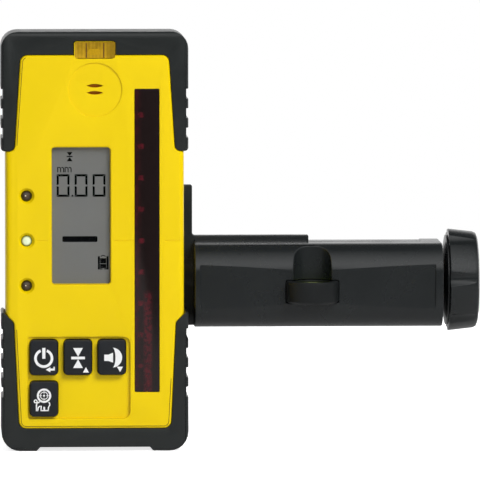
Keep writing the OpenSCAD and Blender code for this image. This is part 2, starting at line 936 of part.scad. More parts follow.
module lcd_panel() {
    color([0.5, 0.5, 0.49])
        along_y(panel_wall, panel_wall + lcd_panel_t)
            rounded_box(lcd_x - lcd_w / 2 - 0.6, lcd_z - lcd_h / 2 - 0.6, lcd_x + lcd_w / 2 + 0.6,
                        lcd_z + lcd_h / 2 + 0.6, 0);
}

module lcd_connectors() {
    color([0.3, 0.3, 0.32])
        for (side = [-1, 1])
            along_y(panel_wall + lcd_panel_t, board_y)
                translate([lcd_x, lcd_z + side * (lcd_h / 2 - 1.5)])
                    square([lcd_w - 2, 2], center = true);
}

module level_vial() {
    color([0.72, 0.55, 0.1])
        along_y(vial_front, vial_front + vial_d)
            rounded_box(vial_x - vial_len / 2, vial_z - vial_d / 2, vial_x + vial_len / 2, vial_z + vial_d / 2,
                        vial_corner_r);
}

module buzzer() {
    color(rubber)
        bar_y([sound_x, sound_z], buzzer_d / 2, panel_wall, panel_wall + buzzer_t);
}

// The outline of one key, grown by grow
module key_outline(at, grow) {
    rounded_box(at[0] - key_w / 2 - grow, at[1] - key_h / 2 - grow, at[0] + key_w / 2 + grow,
                at[1] + key_h / 2 + grow, key_corner_r + grow);
}

module key(at) {
    skirt_front = panel_wall + 0.2;
    color(rubber)
        union() {
            along_y(-key_proud, skirt_front + 0.1)
                key_outline(at, 0);
            along_y(skirt_front, skirt_front + 0.6)
                key_outline(at, key_skirt);
            bar_y(at, 2, skirt_front + 0.5, key_end);
        }
}

module key_power() {
    key(key_at[0]);
}

module key_bandwidth() {
    key(key_at[1]);
}

module key_volume() {
    key(key_at[2]);
}

module key_memory() {
    key(key_at[3]);
}

module key_mat() {
    color([0.35, 0.36, 0.37])
        along_y(board_y - mat_t, board_y)
            difference() {
                rounded_box(recess_left, recess_bottom + 1, recess_right - 2, recess_top, 2);
                for (at = key_at)
                    translate(at)
                        square(switch_size + 1, center = true);
            }
}

module key_switches() {
    color(steel)
        for (at = key_at) {
            along_y(switch_top + 0.35, board_y)
                translate(at)
                    square(switch_size, center = true);
            bar_y(at, 1.6, switch_top, switch_top + 0.5);
        }
}

// A lamp: a domed body on a flange, with two leads that reach the board
module lamp(z) {
    dome_y = led_tip + led_d / 2;
    flange_y = board_y - 1.6;
    translate([led_x, 0, z])
        union() {
            intersection() {
                translate([0, dome_y, 0])
                    sphere(led_d / 2);
                translate([-led_d, led_tip - over, -led_d])
                    cube([led_d * 2, led_d / 2 + over, led_d * 2]);
            }
            bar_y([0, 0], led_d / 2, dome_y, flange_y + 0.5);
            bar_y([0, 0], led_flange_d / 2, flange_y, flange_y + 1);
            for (side = [-1, 1])
                bar_y([side * 1.27, 0], 0.25, flange_y + 0.9, board_y);
        }
}

module led_upper() {
    color([0.35, 0.25, 0.2])
        lamp(mid_z + led_pitch);
}

module led_centre() {
    color([0.6, 0.95, 0.6])
        lamp(mid_z);
}

module led_lower() {
    color([0.35, 0.25, 0.2])
        lamp(mid_z - led_pitch);
}

module main_board() {
    color(green)
        along_y(board_y, board_y + board_t)
            difference() {
                rounded_box(-board_hw, board_bottom, board_hw, board_top, 2);
                for (at = boss_at)
                    translate(at)
                        circle(boss_r + 0.3);
            }
}

module photodiodes() {
    color([0.1, 0.1, 0.12])
        for (i = [0 : diodes - 1])
            along_y(board_y - 1, board_y)
                translate([detector_x, mid_z + (i - (diodes - 1) / 2) * diode_pitch])
                    square(diode_size, center = true);
}

module mount_insert() {
    color(brass)
        difference() {
            bar_y([0, captive_z], insert_r, insert_front, receiver_d);
            bar_y([0, captive_z], captive_d / 2 + running_gap, insert_front - over, receiver_d + over);
        }
}

// Battery bay

module battery_cells() {
    color([0.25, 0.26, 0.28])
        for (row = [[cell_low, 1], [cell_high, -1]])
            translate([0, cell_y, row[0]])
                rotate([0, 90 * row[1], 0])
                    translate([0, 0, -cell_len / 2]) {
                        cylinder(d = cell_d, h = cell_len - nub_len);
                        cylinder(r = nub_r, h = cell_len);
                    }
}

module battery_contacts() {
    bump_gap = 0.1;
    bump_r = 2.2;
    contact_h = 10;
    contact_w = 9;
    color(steel)
        for (z = [cell_low, cell_high])
            for (side = [-1, 1])
                translate([side * bay_hw, cell_y, z])
                    rotate([0, -90 * side, 0]) {
                        translate([-contact_h / 2, -contact_w / 2, 0])
                            cube([contact_h, contact_w, contact_t]);
                        cylinder(r = bump_r, h = contact_room - bump_gap);
                    }
}

module battery_door() {
    color(yellow)
        difference() {
            union() {
                along_y(door_inner, receiver_d)
                    shape([
                        [-door_hw, hinge_z, 0],
                        [door_hw, hinge_z, 0],
                        [door_hw, door_top, 1.5],
                        [-door_hw, door_top, 1.5]
                    ]);
                bar_x([hinge_y, hinge_z], hinge_r, -door_hw, door_hw);
            }
            bar_x([hinge_y, hinge_z], hinge_pin_d / 2 + running_gap, -door_hw - over, door_hw + over);
            bar_y([0, lock_z], lock_d / 2 + running_gap, receiver_d - lock_head_t, receiver_d + over);
            bar_y([0, lock_z], lock_shaft_r + running_gap, door_inner - over, receiver_d);
        }
}

module door_seal() {
    seal_w = 1.4;
    seal_hw = door_hw - 0.4;
    seal_bottom = hinge_z + hinge_r + 0.8;
    seal_top = door_top - 0.2;
    color(rubber)
        along_y(door_inner - seal_t, door_inner)
            difference() {
                rounded_box(-seal_hw, seal_bottom, seal_hw, seal_top, 1.4);
                rounded_box(seal_w - seal_hw, seal_bottom + seal_w, seal_hw - seal_w, seal_top - seal_w, 0.4);
            }
}

module door_hinge_pin() {
    color(steel)
        bar_x([hinge_y, hinge_z], hinge_pin_d / 2, -door_hw - 1.9, door_hw + 1.9);
}

// A coin-slot lock whose tongue turns up behind the housing
module door_lock() {
    slot_w = 1.4;
    slot_depth = 0.8;
    color(plastic)
        difference() {
            union() {
                bar_y([0, lock_z], lock_d / 2, receiver_d - lock_head_t + 0.05, receiver_d);
                bar_y([0, lock_z], lock_shaft_r, tongue_y, receiver_d - 0.5);
                along_y(tongue_y, tongue_y + tongue_t)
                    rounded_box(-tongue_w / 2, lock_z - tongue_w / 2, lock_reach, lock_z + tongue_w / 2, 1);
            }
            translate([0, receiver_d, lock_z])
                cube([lock_d - 1.4, 2 * slot_depth, slot_w], center = true);
        }
}

// Bracket and clamp

module plate_outline() {
    shape([
        [plate_left, arm_bottom, 4],
        [wall_left, arm_bottom, 0],
        [wall_left, arm_top, 0],
        [edge_right, arm_top, 0],
        [edge_right, mid_z, 0.6],
        [plate_side, mid_z, 1.2],
        [plate_side, mid_z + plate_up, 0.8],
        [plate_left, mid_z + plate_up, 4]
    ]);
}

module bracket_plate() {
    slot_left = jaw_left - 3;
    slot_right = wall_left - 1;
    rib_t = 3;
    color(plastic)
        difference() {
            union() {
                along_y(plate_y, plate_back)
                    plate_outline();
                along_x(jaw_left, wall_left)
                    rounded_box(plate_back - 0.5, arm_top - rail_h, plate_back + rail_d, arm_top, 0);
                along_x(fixed_jaw_left, fixed_jaw_right)
                    shape([
                        [plate_back - 0.5, arm_bottom + 0.6, 0],
                        [jaw_back, arm_bottom + 0.6, 8],
                        [jaw_back, arm_top - 0.6, 8],
                        [plate_back - 0.5, arm_top - 0.6, 0]
                    ]);
                for (z = [-11, 0, 11])
                    along_z(arm_z + z - rib_t / 2, arm_z + z + rib_t / 2)
                        polygon([
                            [fixed_jaw_left - 14, plate_back - 0.2],
                            [fixed_jaw_left + 0.2, plate_back - 0.2],
                            [fixed_jaw_left + 0.2, jaw_back - 5]
                        ]);
            }
            bar_y([0, captive_z], captive_d / 2 + 0.3, plate_y - over, plate_back + over);
            for (side = [-1, 1])
                bar_y([side * pin_span / 2, captive_z], pin_d / 2, plate_y - over, plate_back + over);
            along_y(plate_y - over, plate_back + over)
                rounded_box(slot_left, arm_z - tongue_hh - slide_gap, slot_right, arm_z + tongue_hh + slide_gap, 0);
            for (at = arm_screw_at) {
                bar_y(at, screw_hole_r, plate_y - over, plate_back);
                bar_y(at, screw_head_r + 0.3, plate_back - screw_head_t, plate_back + over);
            }
        }
}

// Cross section of the arm, drawn in by inset, as far back as back
module arm_section(inset, back, back_r) {
    shape([
        [arm_front + inset, arm_bottom + inset, arm_r - inset],
        [back, arm_bottom + inset, back_r],
        [back, arm_top - inset, back_r],
        [arm_front + inset, arm_top - inset, arm_r - inset]
    ], fine_steps);
}

module clamp_arm() {
    facet_left = arm_left + 2.3;
    facet_right = arm_right - 3.3;
    end_r = arm_h / 2 - 0.4;
    color(plastic)
        difference() {
            union() {
                difference() {
                    union() {
                        along_x(arm_left, arm_right)
                            arm_section(0, plate_y, 0);
                        along_x(wall_left, arm_right)
                            arm_section(0, jaw_back + 1, end_r);
                    }
                    difference() {
                        along_x(arm_left + arm_wall, wall_left - arm_wall)
                            arm_section(arm_wall, plate_y + over, 0);
                        translate([cup_x, arm_front, cup_bottom - 4])
                            cylinder(r = well_r, h = arm_h);
                    }
                }
                for (at = arm_screw_at)
                    bar_y(at, arm_boss_r, arm_front + arm_wall, plate_y);
            }
            along_z(arm_bottom - over, arm_top + over)
                polygon([
                    [facet_left, arm_front - over],
                    [facet_left, arm_front + facet_fall],
                    [cup_x, arm_front],
                    [facet_right, arm_front + facet_fall],
                    [facet_right, arm_front - over]
                ]);
            translate([cup_x, arm_front, cup_top])
                cylinder(r = niche_r, h = arm_h, $fn = 4 * fine_steps);
            translate([cup_x, arm_front, cup_bottom])
                cylinder(r = cup_d / 2 + 0.05, h = cup_h + 0.05, $fn = 4 * fine_steps);
            bar_x([screw_y, arm_z], bush_d / 2, wall_left - over, arm_right + over);
            for (at = arm_screw_at)
                bar_y(at, pilot_r, plate_y - arm_screw_len + 1, plate_y + over);
        }
}

module arm_screws() {
    seat = plate_back - screw_head_t;
    tip_room = 1.5;
    head_sunk = 0.1;
    color(steel)
        for (at = arm_screw_at) {
            bar_y(at, screw_shank_r, seat - arm_screw_len + tip_room, seat + screw_head_t / 4);
            bar_y(at, screw_head_r, seat, plate_back - head_sunk);
        }
}

module guide_pins() {
    color(steel)
        for (side = [-1, 1])
            bar_y([side * pin_span / 2, captive_z], pin_d / 2, plate_y - pin_reach, plate_back);
}

module captive_screw() {
    color(steel)
        bar_y([0, captive_z], captive_d / 2, insert_front + 1.5, plate_back + captive_knob_len - 2);
}

module captive_knob() {
    knob_y = plate_back + 0.4;
    grip_r = 3;
    color(plastic)
        difference() {
            union() {
                bar_y([0, captive_z], captive_d / 2 + 3, knob_y, knob_y + 2);
                bar_y([0, captive_z], captive_knob_d / 2, knob_y + 1.6, knob_y + captive_knob_len);
            }
            bar_y([0, captive_z], captive_d / 2, knob_y - over, plate_back + captive_knob_len - 2);
            for (i = [0 : flutes - 1])
                translate([0, 0, captive_z])
                    rotate([0, i * 360 / flutes, 0])
                        bar_y([captive_knob_d / 2 + grip_r - 1.2, 0], grip_r, knob_y - over,
                              knob_y + captive_knob_len + over);
        }
}

module vial_cup() {
    color(plastic)
        translate([cup_x, arm_front, cup_bottom])
            rotate_extrude()
                polygon([
                    [0, 0],
                    [cup_d / 2 - 1, 0],
                    [cup_d / 2, 1],
                    [cup_d / 2, cup_h - 0.4],
                    [cup_d / 2 - 0.4, cup_h],
                    [round_vial_d / 2 + window_gap, cup_h],
                    [round_vial_d / 2 + window_gap, cup_floor],
                    [0, cup_floor]
                ]);
}

module round_vial() {
    dome = 0.5;
    color([0.75, 0.8, 0.3])
        translate([cup_x, arm_front, cup_bottom + cup_floor])
            cylinder(d = round_vial_d, h = cup_h - cup_floor - dome - 0.6);
}

module vial_ring() {
    ring_w = 1.3;
    color(plastic)
        translate([cup_x, arm_front, cup_top - 1.1])
            difference() {
                cylinder(d = round_vial_d, h = 0.9);
                translate([0, 0, -over])
                    cylinder(r = round_vial_d / 2 - ring_w, h = 3 * over);
            }
}

module screw_bush() {
    color(brass)
        difference() {
            bar_x([screw_y, arm_z], bush_d / 2, wall_left, arm_right);
            bar_x([screw_y, arm_z], spindle_d / 2 + running_gap, wall_left - over, arm_right + over);
        }
}

module clamp_spindle() {
    color(steel)
        union() {
            bar_x([screw_y, arm_z], socket_r, jaw_right - socket_len, jaw_right);
            bar_x([screw_y, arm_z], neck_r, jaw_right - 0.5, jaw_right + retainer_t + 0.4);
            bar_x([screw_y, arm_z], spindle_d / 2, jaw_right + retainer_t + 0.2, knob_left + spindle_in);
        }
}

module clamp_knob() {
    taper = 1.1;
    round = 2;
    lip = 0.25;
    color(plastic)
        difference() {
            turned_x([screw_y, arm_z], knob_left)
                polygon([
                    [spindle_d / 2, 0],
                    [knob_d / 2 - lip, 0],
                    [knob_d / 2, lip],
                    [knob_d / 2 - taper, knob_len - round],
                    [knob_d / 2 - taper - round * 0.29, knob_len - round * 0.29],
                    [knob_d / 2 - taper - round, knob_len],
                    [knob_d / 2 - knob_rim, knob_len],
                    [knob_d / 2 - knob_rim, knob_len - cap_depth],
                    [0, knob_len - cap_depth],
                    [0, spindle_in],
                    [spindle_d / 2, spindle_in]
                ]);
            for (i = [0 : flutes - 1])
                translate([0, screw_y, arm_z])
                    rotate([i * 360 / flutes - flute_turn, 0, 0])
                        bar_x([-knob_d / 2 - flute_r + flute_depth, 0], flute_r, knob_left - over, knob_right + over);
        }
}

module knob_flange() {
    hub = 0.9;
    color(plastic)
        turned_x([screw_y, arm_z], arm_right + hub + 0.3)
            polygon([
                [spindle_d / 2, 0],
                [spindle_d / 2 + 3, 0],
                [flange_d / 2, knob_gap - hub - 1.2],
                [flange_d / 2, knob_gap - hub - 0.3],
                [spindle_d / 2, knob_gap - hub - 0.3]
            ]);
}

module knob_cap() {
    color([0.3, 0.31, 0.32])
        bar_x([screw_y, arm_z], knob_d / 2 - knob_rim - window_gap, knob_right - cap_depth, knob_right - cap_sunk);
}

module jaw_pad(x0) {
    color(rubber)
        along_x(x0, x0 + pad_t)
            rounded_box(screw_y - pad_hd, arm_z - pad_hh, screw_y + pad_hd, arm_z + pad_hh, 3);
}

module fixed_jaw_pad() {
    jaw_pad(fixed_jaw_right);
}

module moving_jaw_pad() {
    jaw_pad(moving_pad_face);
}

module moving_jaw() {
    color(plastic)
        difference() {
            union() {
                along_x(jaw_left, jaw_right)
                    shape([
                        [plate_back + slide_gap, arm_z - jaw_hh, 1],
                        [jaw_back, arm_z - jaw_hh, 8],
                        [jaw_back, arm_z + jaw_hh, 8],
                        [plate_back + slide_gap, arm_z + jaw_hh, 1]
                    ]);
                along_x(jaw_left, jaw_right)
                    rounded_box(plate_back - tongue_in, arm_z - tongue_hh, plate_back + 2, arm_z + tongue_hh, 0);
            }
            bar_x([screw_y, arm_z], socket_r + running_gap, jaw_right - socket_len - 0.3, jaw_right + over);
        }
}

// A forked plate in the spindle's neck that draws the jaw back
module jaw_retainer() {
    fork = neck_r + 0.15;
    half = 8;
    corner_r = 1.5;
    color(steel)
        along_x(jaw_right, jaw_right + retainer_t)
            difference() {
                rounded_box(screw_y - half, arm_z - half, screw_y + half, arm_z + half, corner_r);
                translate([screw_y, arm_z])
                    circle(fork);
                translate([screw_y - fork, arm_z])
                    square([2 * fork, half + over]);
            }
}

placed() front_housing();
placed() rear_housing();
placed() housing_gasket();
placed() housing_screws();
placed() top_bumper();
placed() bottom_bumper();
placed() detector_window();
placed() lcd_lens();
placed() lcd_panel();
placed() lcd_connectors();
placed() level_vial();
placed() buzzer();
placed() key_power();
placed() key_bandwidth();
placed() key_volume();
placed() key_memory();
placed() key_mat();
placed() key_switches();
placed() led_upper();
placed() led_centre();
placed() led_lower();
placed() main_board();
placed() photodiodes();
placed() mount_insert();
placed() battery_cells();
placed() battery_contacts();
placed() battery_door();
placed() door_seal();
placed() door_hinge_pin();
placed() door_lock();
placed() bracket_plate();
placed() clamp_arm();
placed() arm_screws();
placed() guide_pins();
placed() captive_screw();
placed() captive_knob();
placed() vial_cup();
placed() round_vial();
placed() vial_ring();
placed() screw_bush();
placed() clamp_spindle();
placed() clamp_knob();
placed() knob_flange();
placed() knob_cap();
placed() fixed_jaw_pad();
placed() moving_jaw();
placed() moving_jaw_pad();
placed() jaw_retainer();
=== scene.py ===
"""Dresses a laser receiver on its rod clamp: finishes, display, key prints, levels, threads and a studio."""

from functools import cache
from math import cos, pi, radians, sin, tau

import bmesh
import bpy
from bpy.props import FloatProperty, FloatVectorProperty, IntProperty, PointerProperty, StringProperty
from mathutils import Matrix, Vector


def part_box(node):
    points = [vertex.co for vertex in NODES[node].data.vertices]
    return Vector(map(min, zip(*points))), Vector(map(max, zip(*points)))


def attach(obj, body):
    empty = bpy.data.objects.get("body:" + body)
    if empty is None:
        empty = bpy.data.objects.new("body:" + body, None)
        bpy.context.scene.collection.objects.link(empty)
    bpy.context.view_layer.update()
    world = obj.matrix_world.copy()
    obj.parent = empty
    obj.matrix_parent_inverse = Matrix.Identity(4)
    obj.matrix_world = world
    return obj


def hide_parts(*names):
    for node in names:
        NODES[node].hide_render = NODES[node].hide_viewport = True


bl_info = {
    "name": "Laser receiver dresser",
    "version": (1, 0, 0),
    "blender": (4, 5, 0),
    "location": "View3D > Sidebar > Receiver",
    "description": "Finishes, signs, levels and threads for a laser receiver on a rod clamp",
    "category": "Object",
}

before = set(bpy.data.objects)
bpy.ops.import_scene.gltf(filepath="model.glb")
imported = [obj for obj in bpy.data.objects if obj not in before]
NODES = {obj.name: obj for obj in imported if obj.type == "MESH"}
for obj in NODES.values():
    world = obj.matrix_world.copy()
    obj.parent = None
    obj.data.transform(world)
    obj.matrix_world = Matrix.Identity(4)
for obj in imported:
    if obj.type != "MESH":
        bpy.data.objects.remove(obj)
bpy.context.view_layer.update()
MM = 0.001

# Points of a mesh that lie closer than this are one point
WELD = 0.001 * MM
# Degrees: an outer edge is rounded above the first, and shading breaks above the second
OUTER_EDGE, SHARP_EDGE = 30, 34
# Noise rarely leaves this range, so patches are stretched over it
NOISE_LOW, NOISE_HIGH = 0.3, 0.7

# The receiver's own zero: on its centre line, at its front panel and under its feet
BUMPER_LOW, BUMPER_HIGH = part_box("top_bumper")
RECEIVER_ZERO = Vector((
    (BUMPER_LOW.x + BUMPER_HIGH.x) / 2,
    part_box("front_housing")[0].y,
    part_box("bottom_bumper")[0].z,
))
GRADE_Z = sum(corner.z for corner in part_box("led_centre")) / 2


def linear(hex_code):
    """An sRGB hex colour as linear red, green, blue and alpha."""
    channels = [int(hex_code[i:i + 2], 16) / 255 for i in (1, 3, 5)]
    return tuple(c / 12.92 if c <= 0.04045 else ((c + 0.055) / 1.055) ** 2.4 for c in channels) + (1.0,)


def middle(node):
    """The middle of a CAD node's box."""
    low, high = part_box(node)
    return (low + high) / 2


def face_of(node):
    """The middle of a CAD node's front face."""
    face = middle(node)
    face.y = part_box(node)[0].y
    return face


def on_panel(node):
    """The point on the front panel's plane at a CAD node's middle."""
    point = middle(node)
    point.y = RECEIVER_ZERO.y
    return point


def colour_property(name, description, hex_code):
    return FloatVectorProperty(
        name=name, description=description, subtype="COLOR", size=4, min=0, max=1, default=linear(hex_code))


def length_property(name, description, millimetres):
    return FloatProperty(
        name=name, description=description, unit="LENGTH", precision=5, min=0, default=millimetres * MM)


def number_property(name, description, value, **more):
    return FloatProperty(name=name, description=description, default=value, **more)


# Settings


class HousingSettings(bpy.types.PropertyGroup):
    """The moulded shells and the rubber round them"""

    shell: colour_property("Shell", "Colour of the moulded shells", "#F0D202")
    shell_deep: colour_property("Shell, deep tone", "Tone that the shells drift to", "#ECCA02")
    rubber: colour_property("Rubber", "Colour of the bumpers", "#1F2222")
    panel_edge: length_property("Panel edge", "Radius round the edge of the front panel", 0.8)
    small_edge: length_property("Small edge", "Radius on the other moulded edges of the shells", 0.14)
    rubber_edge: length_property("Rubber edge", "Radius on the edges of the bumpers", 0.35)


class DisplaySettings(bpy.types.PropertyGroup):
    """What the display shows"""

    reading: StringProperty(name="Reading", description="Number shown, digits and one point", default="0.00")
    glass: colour_property("Display", "Colour of the idle display", "#7C7D7B")
    segment: colour_property("Segment", "Colour of a switched segment", "#050607")
    digit_w: length_property("Digit width", "Width of one digit", 5.3)
    digit_h: length_property("Digit height", "Height of one digit", 9.28)
    digit_pitch: length_property("Digit pitch", "Distance from one digit to the next", 7.38)
    stroke: length_property("Stroke", "Width of a segment", 0.91)


class KeySettings(bpy.types.PropertyGroup):
    """Keys and the signs printed on them"""

    rubber: colour_property("Key", "Colour of the keys", "#1B1D21")
    ink: colour_property("Ink", "Colour of the printed signs", "#F4F5F7")
    ink_t: length_property("Ink thickness", "How far the print stands proud", 0.03)
    edge: length_property("Key edge", "Radius on the key's edges", 0.45)


class LampSettings(bpy.types.PropertyGroup):
    """Lamps beside the display"""

    idle: colour_property("Idle lamp", "Colour of an unlit lamp", "#5A4A35")
    lit: colour_property("Lit lamp", "Colour at the rim of the lit lamp", "#575F1A")
    core: colour_property("Lamp core", "Colour at the middle of the lit lamp", "#D0DBB7")
    glow: number_property("Glow", "Strength of the lit lamp", 0.35, min=0)


class LevelSettings(bpy.types.PropertyGroup):
    """The spirit level and the round level"""

    amber: colour_property("Amber", "Colour of the block level", "#AA8512")
    green: colour_property("Green", "Colour of the round level's liquid", "#A9C23A")
    line_gap: length_property("Line gap", "Distance between the two lines of the block level", 7.1)


class ClampSettings(bpy.types.PropertyGroup):
    """The rod clamp"""

    plastic: colour_property("Plastic", "Colour of the arm, jaws, plate and knobs", "#1C1F20")
    edge: length_property("Edge", "Radius on the moulded edges of the clamp", 0.4)
    spindle_pitch: length_property("Spindle pitch", "Distance between neighbouring thread turns", 2.0)
    spindle_starts: IntProperty(
        name="Starts", description="Threads cut side by side on the spindle", min=1, default=2)
    captive_pitch: length_property("Captive pitch", "Thread pitch of the captive screw", 1.27)


class StudioSettings(bpy.types.PropertyGroup):
    """Camera and light"""

    distance: number_property("Distance", "Camera to the aim point", 3.0, unit="LENGTH")
    azimuth: number_property("Azimuth", "Turn of the camera to the right", radians(-2.5), subtype="ANGLE")
    elevation: number_property("Elevation", "Camera above the horizon", radians(4.2), subtype="ANGLE")
    frame_w: length_property("Frame", "Width that the picture covers at the aim point", 197.1)
    aim: FloatVectorProperty(
        name="Aim", description="Aim point from the receiver's zero", subtype="TRANSLATION", size=3,
        default=(59.6 * MM, 0, 86.95 * MM))
    key_light: number_property("Key light", "Power of the lamp at the upper right", 23.0, unit="POWER")
    fill_light: number_property("Fill light", "Power of the soft lamp at the front", 5.0, unit="POWER")
    back_light: number_property("Back light", "Power of the lamp behind", 9.0, unit="POWER")
    sheen: number_property("Sheen", "Level of the soft box that glossy surfaces mirror", 1.65, min=0)
    ambient: number_property("Ambient", "Level of the light from all round", 0.12, min=0)


SETTINGS = {
    "receiver_housing": HousingSettings,
    "receiver_display": DisplaySettings,
    "receiver_keys": KeySettings,
    "receiver_lamps": LampSettings,
    "receiver_levels": LevelSettings,
    "receiver_clamp": ClampSettings,
    "receiver_studio": StudioSettings,
}


# Nodes and finishes


def add_node(tree, kind, inputs=None, **settings):
    """Adds a node: settings are its properties, inputs its socket values or what is linked into its sockets.

    A node that is given as an input is linked from its first output.
    """
    node = tree.nodes.new(kind)
    for name, value in settings.items():
        setattr(node, name, value)
    for name, value in (inputs or {}).items():
        if isinstance(value, bpy.types.Node):
            value = value.outputs[0]
        if isinstance(value, bpy.types.NodeSocket):
            tree.links.new(value, node.inputs[name])
        else:
            node.inputs[name].default_value = value
    return node


def empty_tree(owner):
    """The node tree of a material or a world, with nothing in it."""
    owner.use_nodes = True
    owner.node_tree.nodes.clear()
    return owner.node_tree


def tone(colour, factor):
    """A colour made lighter or darker by a factor."""
    return tuple(min(c * factor, 1.0) for c in colour[:3]) + (1.0,)


def finish(name, tones, patch, rough, grain=None, share=None, glow=0, **sockets):
    """A material that drifts between two tones and two roughnesses in patches, under a grained skin.

    patch is the size of the patches, and grain the width and depth of the skin's grain, in millimetres.
    share, if given, makes the node that mixes the two tones in place of the patches.
    """
    material = bpy.data.materials.new(name)
    tree = empty_tree(material)
    place = add_node(tree, "ShaderNodeTexCoord").outputs["Object"]
    patches = add_node(tree, "ShaderNodeTexNoise", {
        "Vector": place, "Scale": 1 / (patch * MM), "Detail": 3.0})
    mix = share(tree, place, patches) if share else patches
    mixed = add_node(tree, "ShaderNodeMix", {0: mix, 6: tones[0], 7: tones[1]}, data_type="RGBA")
    colour = mixed.outputs[2]
    gloss = add_node(tree, "ShaderNodeMapRange", {
        "Value": patches, "From Min": NOISE_LOW, "From Max": NOISE_HIGH,
        "To Min": rough[0], "To Max": rough[1]})
    inputs = {"Base Color": colour, "Roughness": gloss}
    if grain:
        width, depth = (size * MM for size in grain)
        grains = add_node(tree, "ShaderNodeTexNoise", {"Vector": place, "Scale": 1 / width})
        inputs["Normal"] = add_node(tree, "ShaderNodeBump", {"Height": grains, "Distance": depth})
    if glow:
        inputs.update({"Emission Color": colour, "Emission Strength": glow})
    inputs.update({socket.replace("_", " "): value for socket, value in sockets.items()})
    shader = add_node(tree, "ShaderNodeBsdfPrincipled", inputs)
    add_node(tree, "ShaderNodeOutputMaterial", {"Surface": shader})
    return material


@cache
def yellow_abs_moulded():
    """ABS from a spark-eroded mould: full yellow, with a satin sheen broken by a fine even grain."""
    housing = bpy.context.scene.receiver_housing
    tones = housing.shell, housing.shell_deep
    # The real grain is 0.1 mm; it is drawn at 0.45 mm so that it shows
    return finish(
        "ABS yellow moulded", tones, patch=38, rough=(0.28, 0.36), grain=(0.45, 0.008), IOR=1.53,
        Specular_IOR_Level=0.2)


@cache
def yellow_abs_painted_edge_shade():
    """Painted shade along the edge of the panel: a hairline, dark ochre and matt."""
    tones = linear("#5E4700"), linear("#745800")
    return finish("ABS yellow painted edge shade", tones, patch=2, rough=(0.7, 0.8), IOR=1.53)


@cache
def black_elastomer_overmoulded():
    """Thermoplastic elastomer moulded over the shells: charcoal and matt, with a soft bloom on its grain."""
    rubber = bpy.context.scene.receiver_housing.rubber
    tones = rubber, tone(rubber, 1.3)
    return finish("TPE black overmoulded", tones, patch=7, rough=(0.3, 0.4), grain=(0.5, 0.02), IOR=1.5)


@cache
def grey_elastomer_pressed():
    """Pressed silicone for gaskets, seals and the key mat: mid grey, dull and slightly cloudy."""
    tones = linear("#3A3C3E"), linear("#46484A")
    return finish("Silicone grey pressed", tones, patch=4, rough=(0.66, 0.74), grain=(0.6, 0.02), IOR=1.41)


@cache
def key_silicone_coated():
    """Silicone keys with a matt coat: charcoal with a cool cast and a very fine tooth."""
    rubber = bpy.context.scene.receiver_keys.rubber
    tones = rubber, tone(rubber, 1.25)
    return finish("Silicone keys coated", tones, patch=4, rough=(0.4, 0.5), grain=(0.35, 0.012), IOR=1.43)


@cache
def key_ink_screened():
    """Screen-printed ink: flat near-white with a slight mesh unevenness."""
    ink = bpy.context.scene.receiver_keys.ink
    tones = ink, tone(ink, 0.92)
    return finish(
        "Ink white screen printed", tones, patch=0.8, rough=(0.5, 0.6), grain=(0.3, 0.006), IOR=1.48)


@cache
def black_nylon_moulded():
    """Glass-filled nylon: black with a satin skin that takes long soft highlights, with faint flow marks."""
    plastic = bpy.context.scene.receiver_clamp.plastic
    tones = plastic, tone(plastic, 1.12)
    return finish(
        "Nylon black glass filled", tones, patch=14, rough=(0.22, 0.3), grain=(0.5, 0.006), IOR=1.53)


@cache
def black_nylon_eroded():
    """Glass-filled nylon from a spark-eroded mould: deeper black, too dull to mirror anything sharply."""
    plastic = bpy.context.scene.receiver_clamp.plastic
    tones = tone(plastic, 0.6), tone(plastic, 0.7)
    return finish(
        "Nylon black spark eroded", tones, patch=9, rough=(0.42, 0.5), grain=(0.4, 0.01), IOR=1.53,
        Specular_IOR_Level=0.38)


def painted_diode_glints(tree, place, patches):
    """Dull red glints painted in a row down one side, a red cast along that edge and a streak below, all
    mottled.
    """
    low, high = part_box("detector_window")
    pitch, streak_top, streak_full = 12.92 * MM, -20 * MM, -23 * MM
    # Levels of a cosine along the row, between which a glint comes up
    glint_start, glint_full = 0.78, 0.98
    cast_end, cast_full, cast_strength = 0.3, 0.05, 0.18
    axes = add_node(tree, "ShaderNodeSeparateXYZ", {"Vector": place})
    across = add_node(tree, "ShaderNodeMapRange", {
        "Value": axes.outputs["X"], "From Min": low.x, "From Max": high.x})
    row = add_node(tree, "ShaderNodeMath", {0: axes.outputs["Z"], 1: GRADE_Z}, operation="SUBTRACT")
    wave = add_node(tree, "ShaderNodeMath", {0: row, 1: tau / pitch}, operation="MULTIPLY")
    beat = add_node(tree, "ShaderNodeMath", {0: wave}, operation="COSINE")
    rows = add_node(tree, "ShaderNodeMapRange", {
        "Value": beat, "From Min": glint_start, "From Max": glint_full})
    below = add_node(tree, "ShaderNodeMapRange", {
        "Value": row, "From Min": streak_top, "From Max": streak_full})
    cast = add_node(tree, "ShaderNodeMapRange", {
        "Value": across, "From Min": cast_end, "From Max": cast_full, "To Max": cast_strength})
    # Centre and half width as shares of the window's width, strength, and the heights that are marked
    glints = (0.25, 0.17, 0.46, rows)
    streak = (0.53, 0.22, 0.34, below)
    for centre, half, strength, heights in (glints, streak):
        side = add_node(tree, "ShaderNodeMath", {0: across, 1: centre}, operation="SUBTRACT")
        reach = add_node(tree, "ShaderNodeMath", {0: side}, operation="ABSOLUTE")
        column = add_node(tree, "ShaderNodeMapRange", {
            "Value": reach, "From Min": half, "From Max": 0.4 * half, "To Max": strength})
        mark = add_node(tree, "ShaderNodeMath", {0: column, 1: heights}, operation="MULTIPLY")
        cast = add_node(tree, "ShaderNodeMath", {0: cast, 1: mark}, operation="MAXIMUM")
    mottle = add_node(tree, "ShaderNodeMapRange", {
        "Value": patches, "From Min": 0.35, "From Max": 0.62, "To Min": 0.2})
    return add_node(tree, "ShaderNodeMath", {0: cast, 1: mottle}, operation="MULTIPLY")


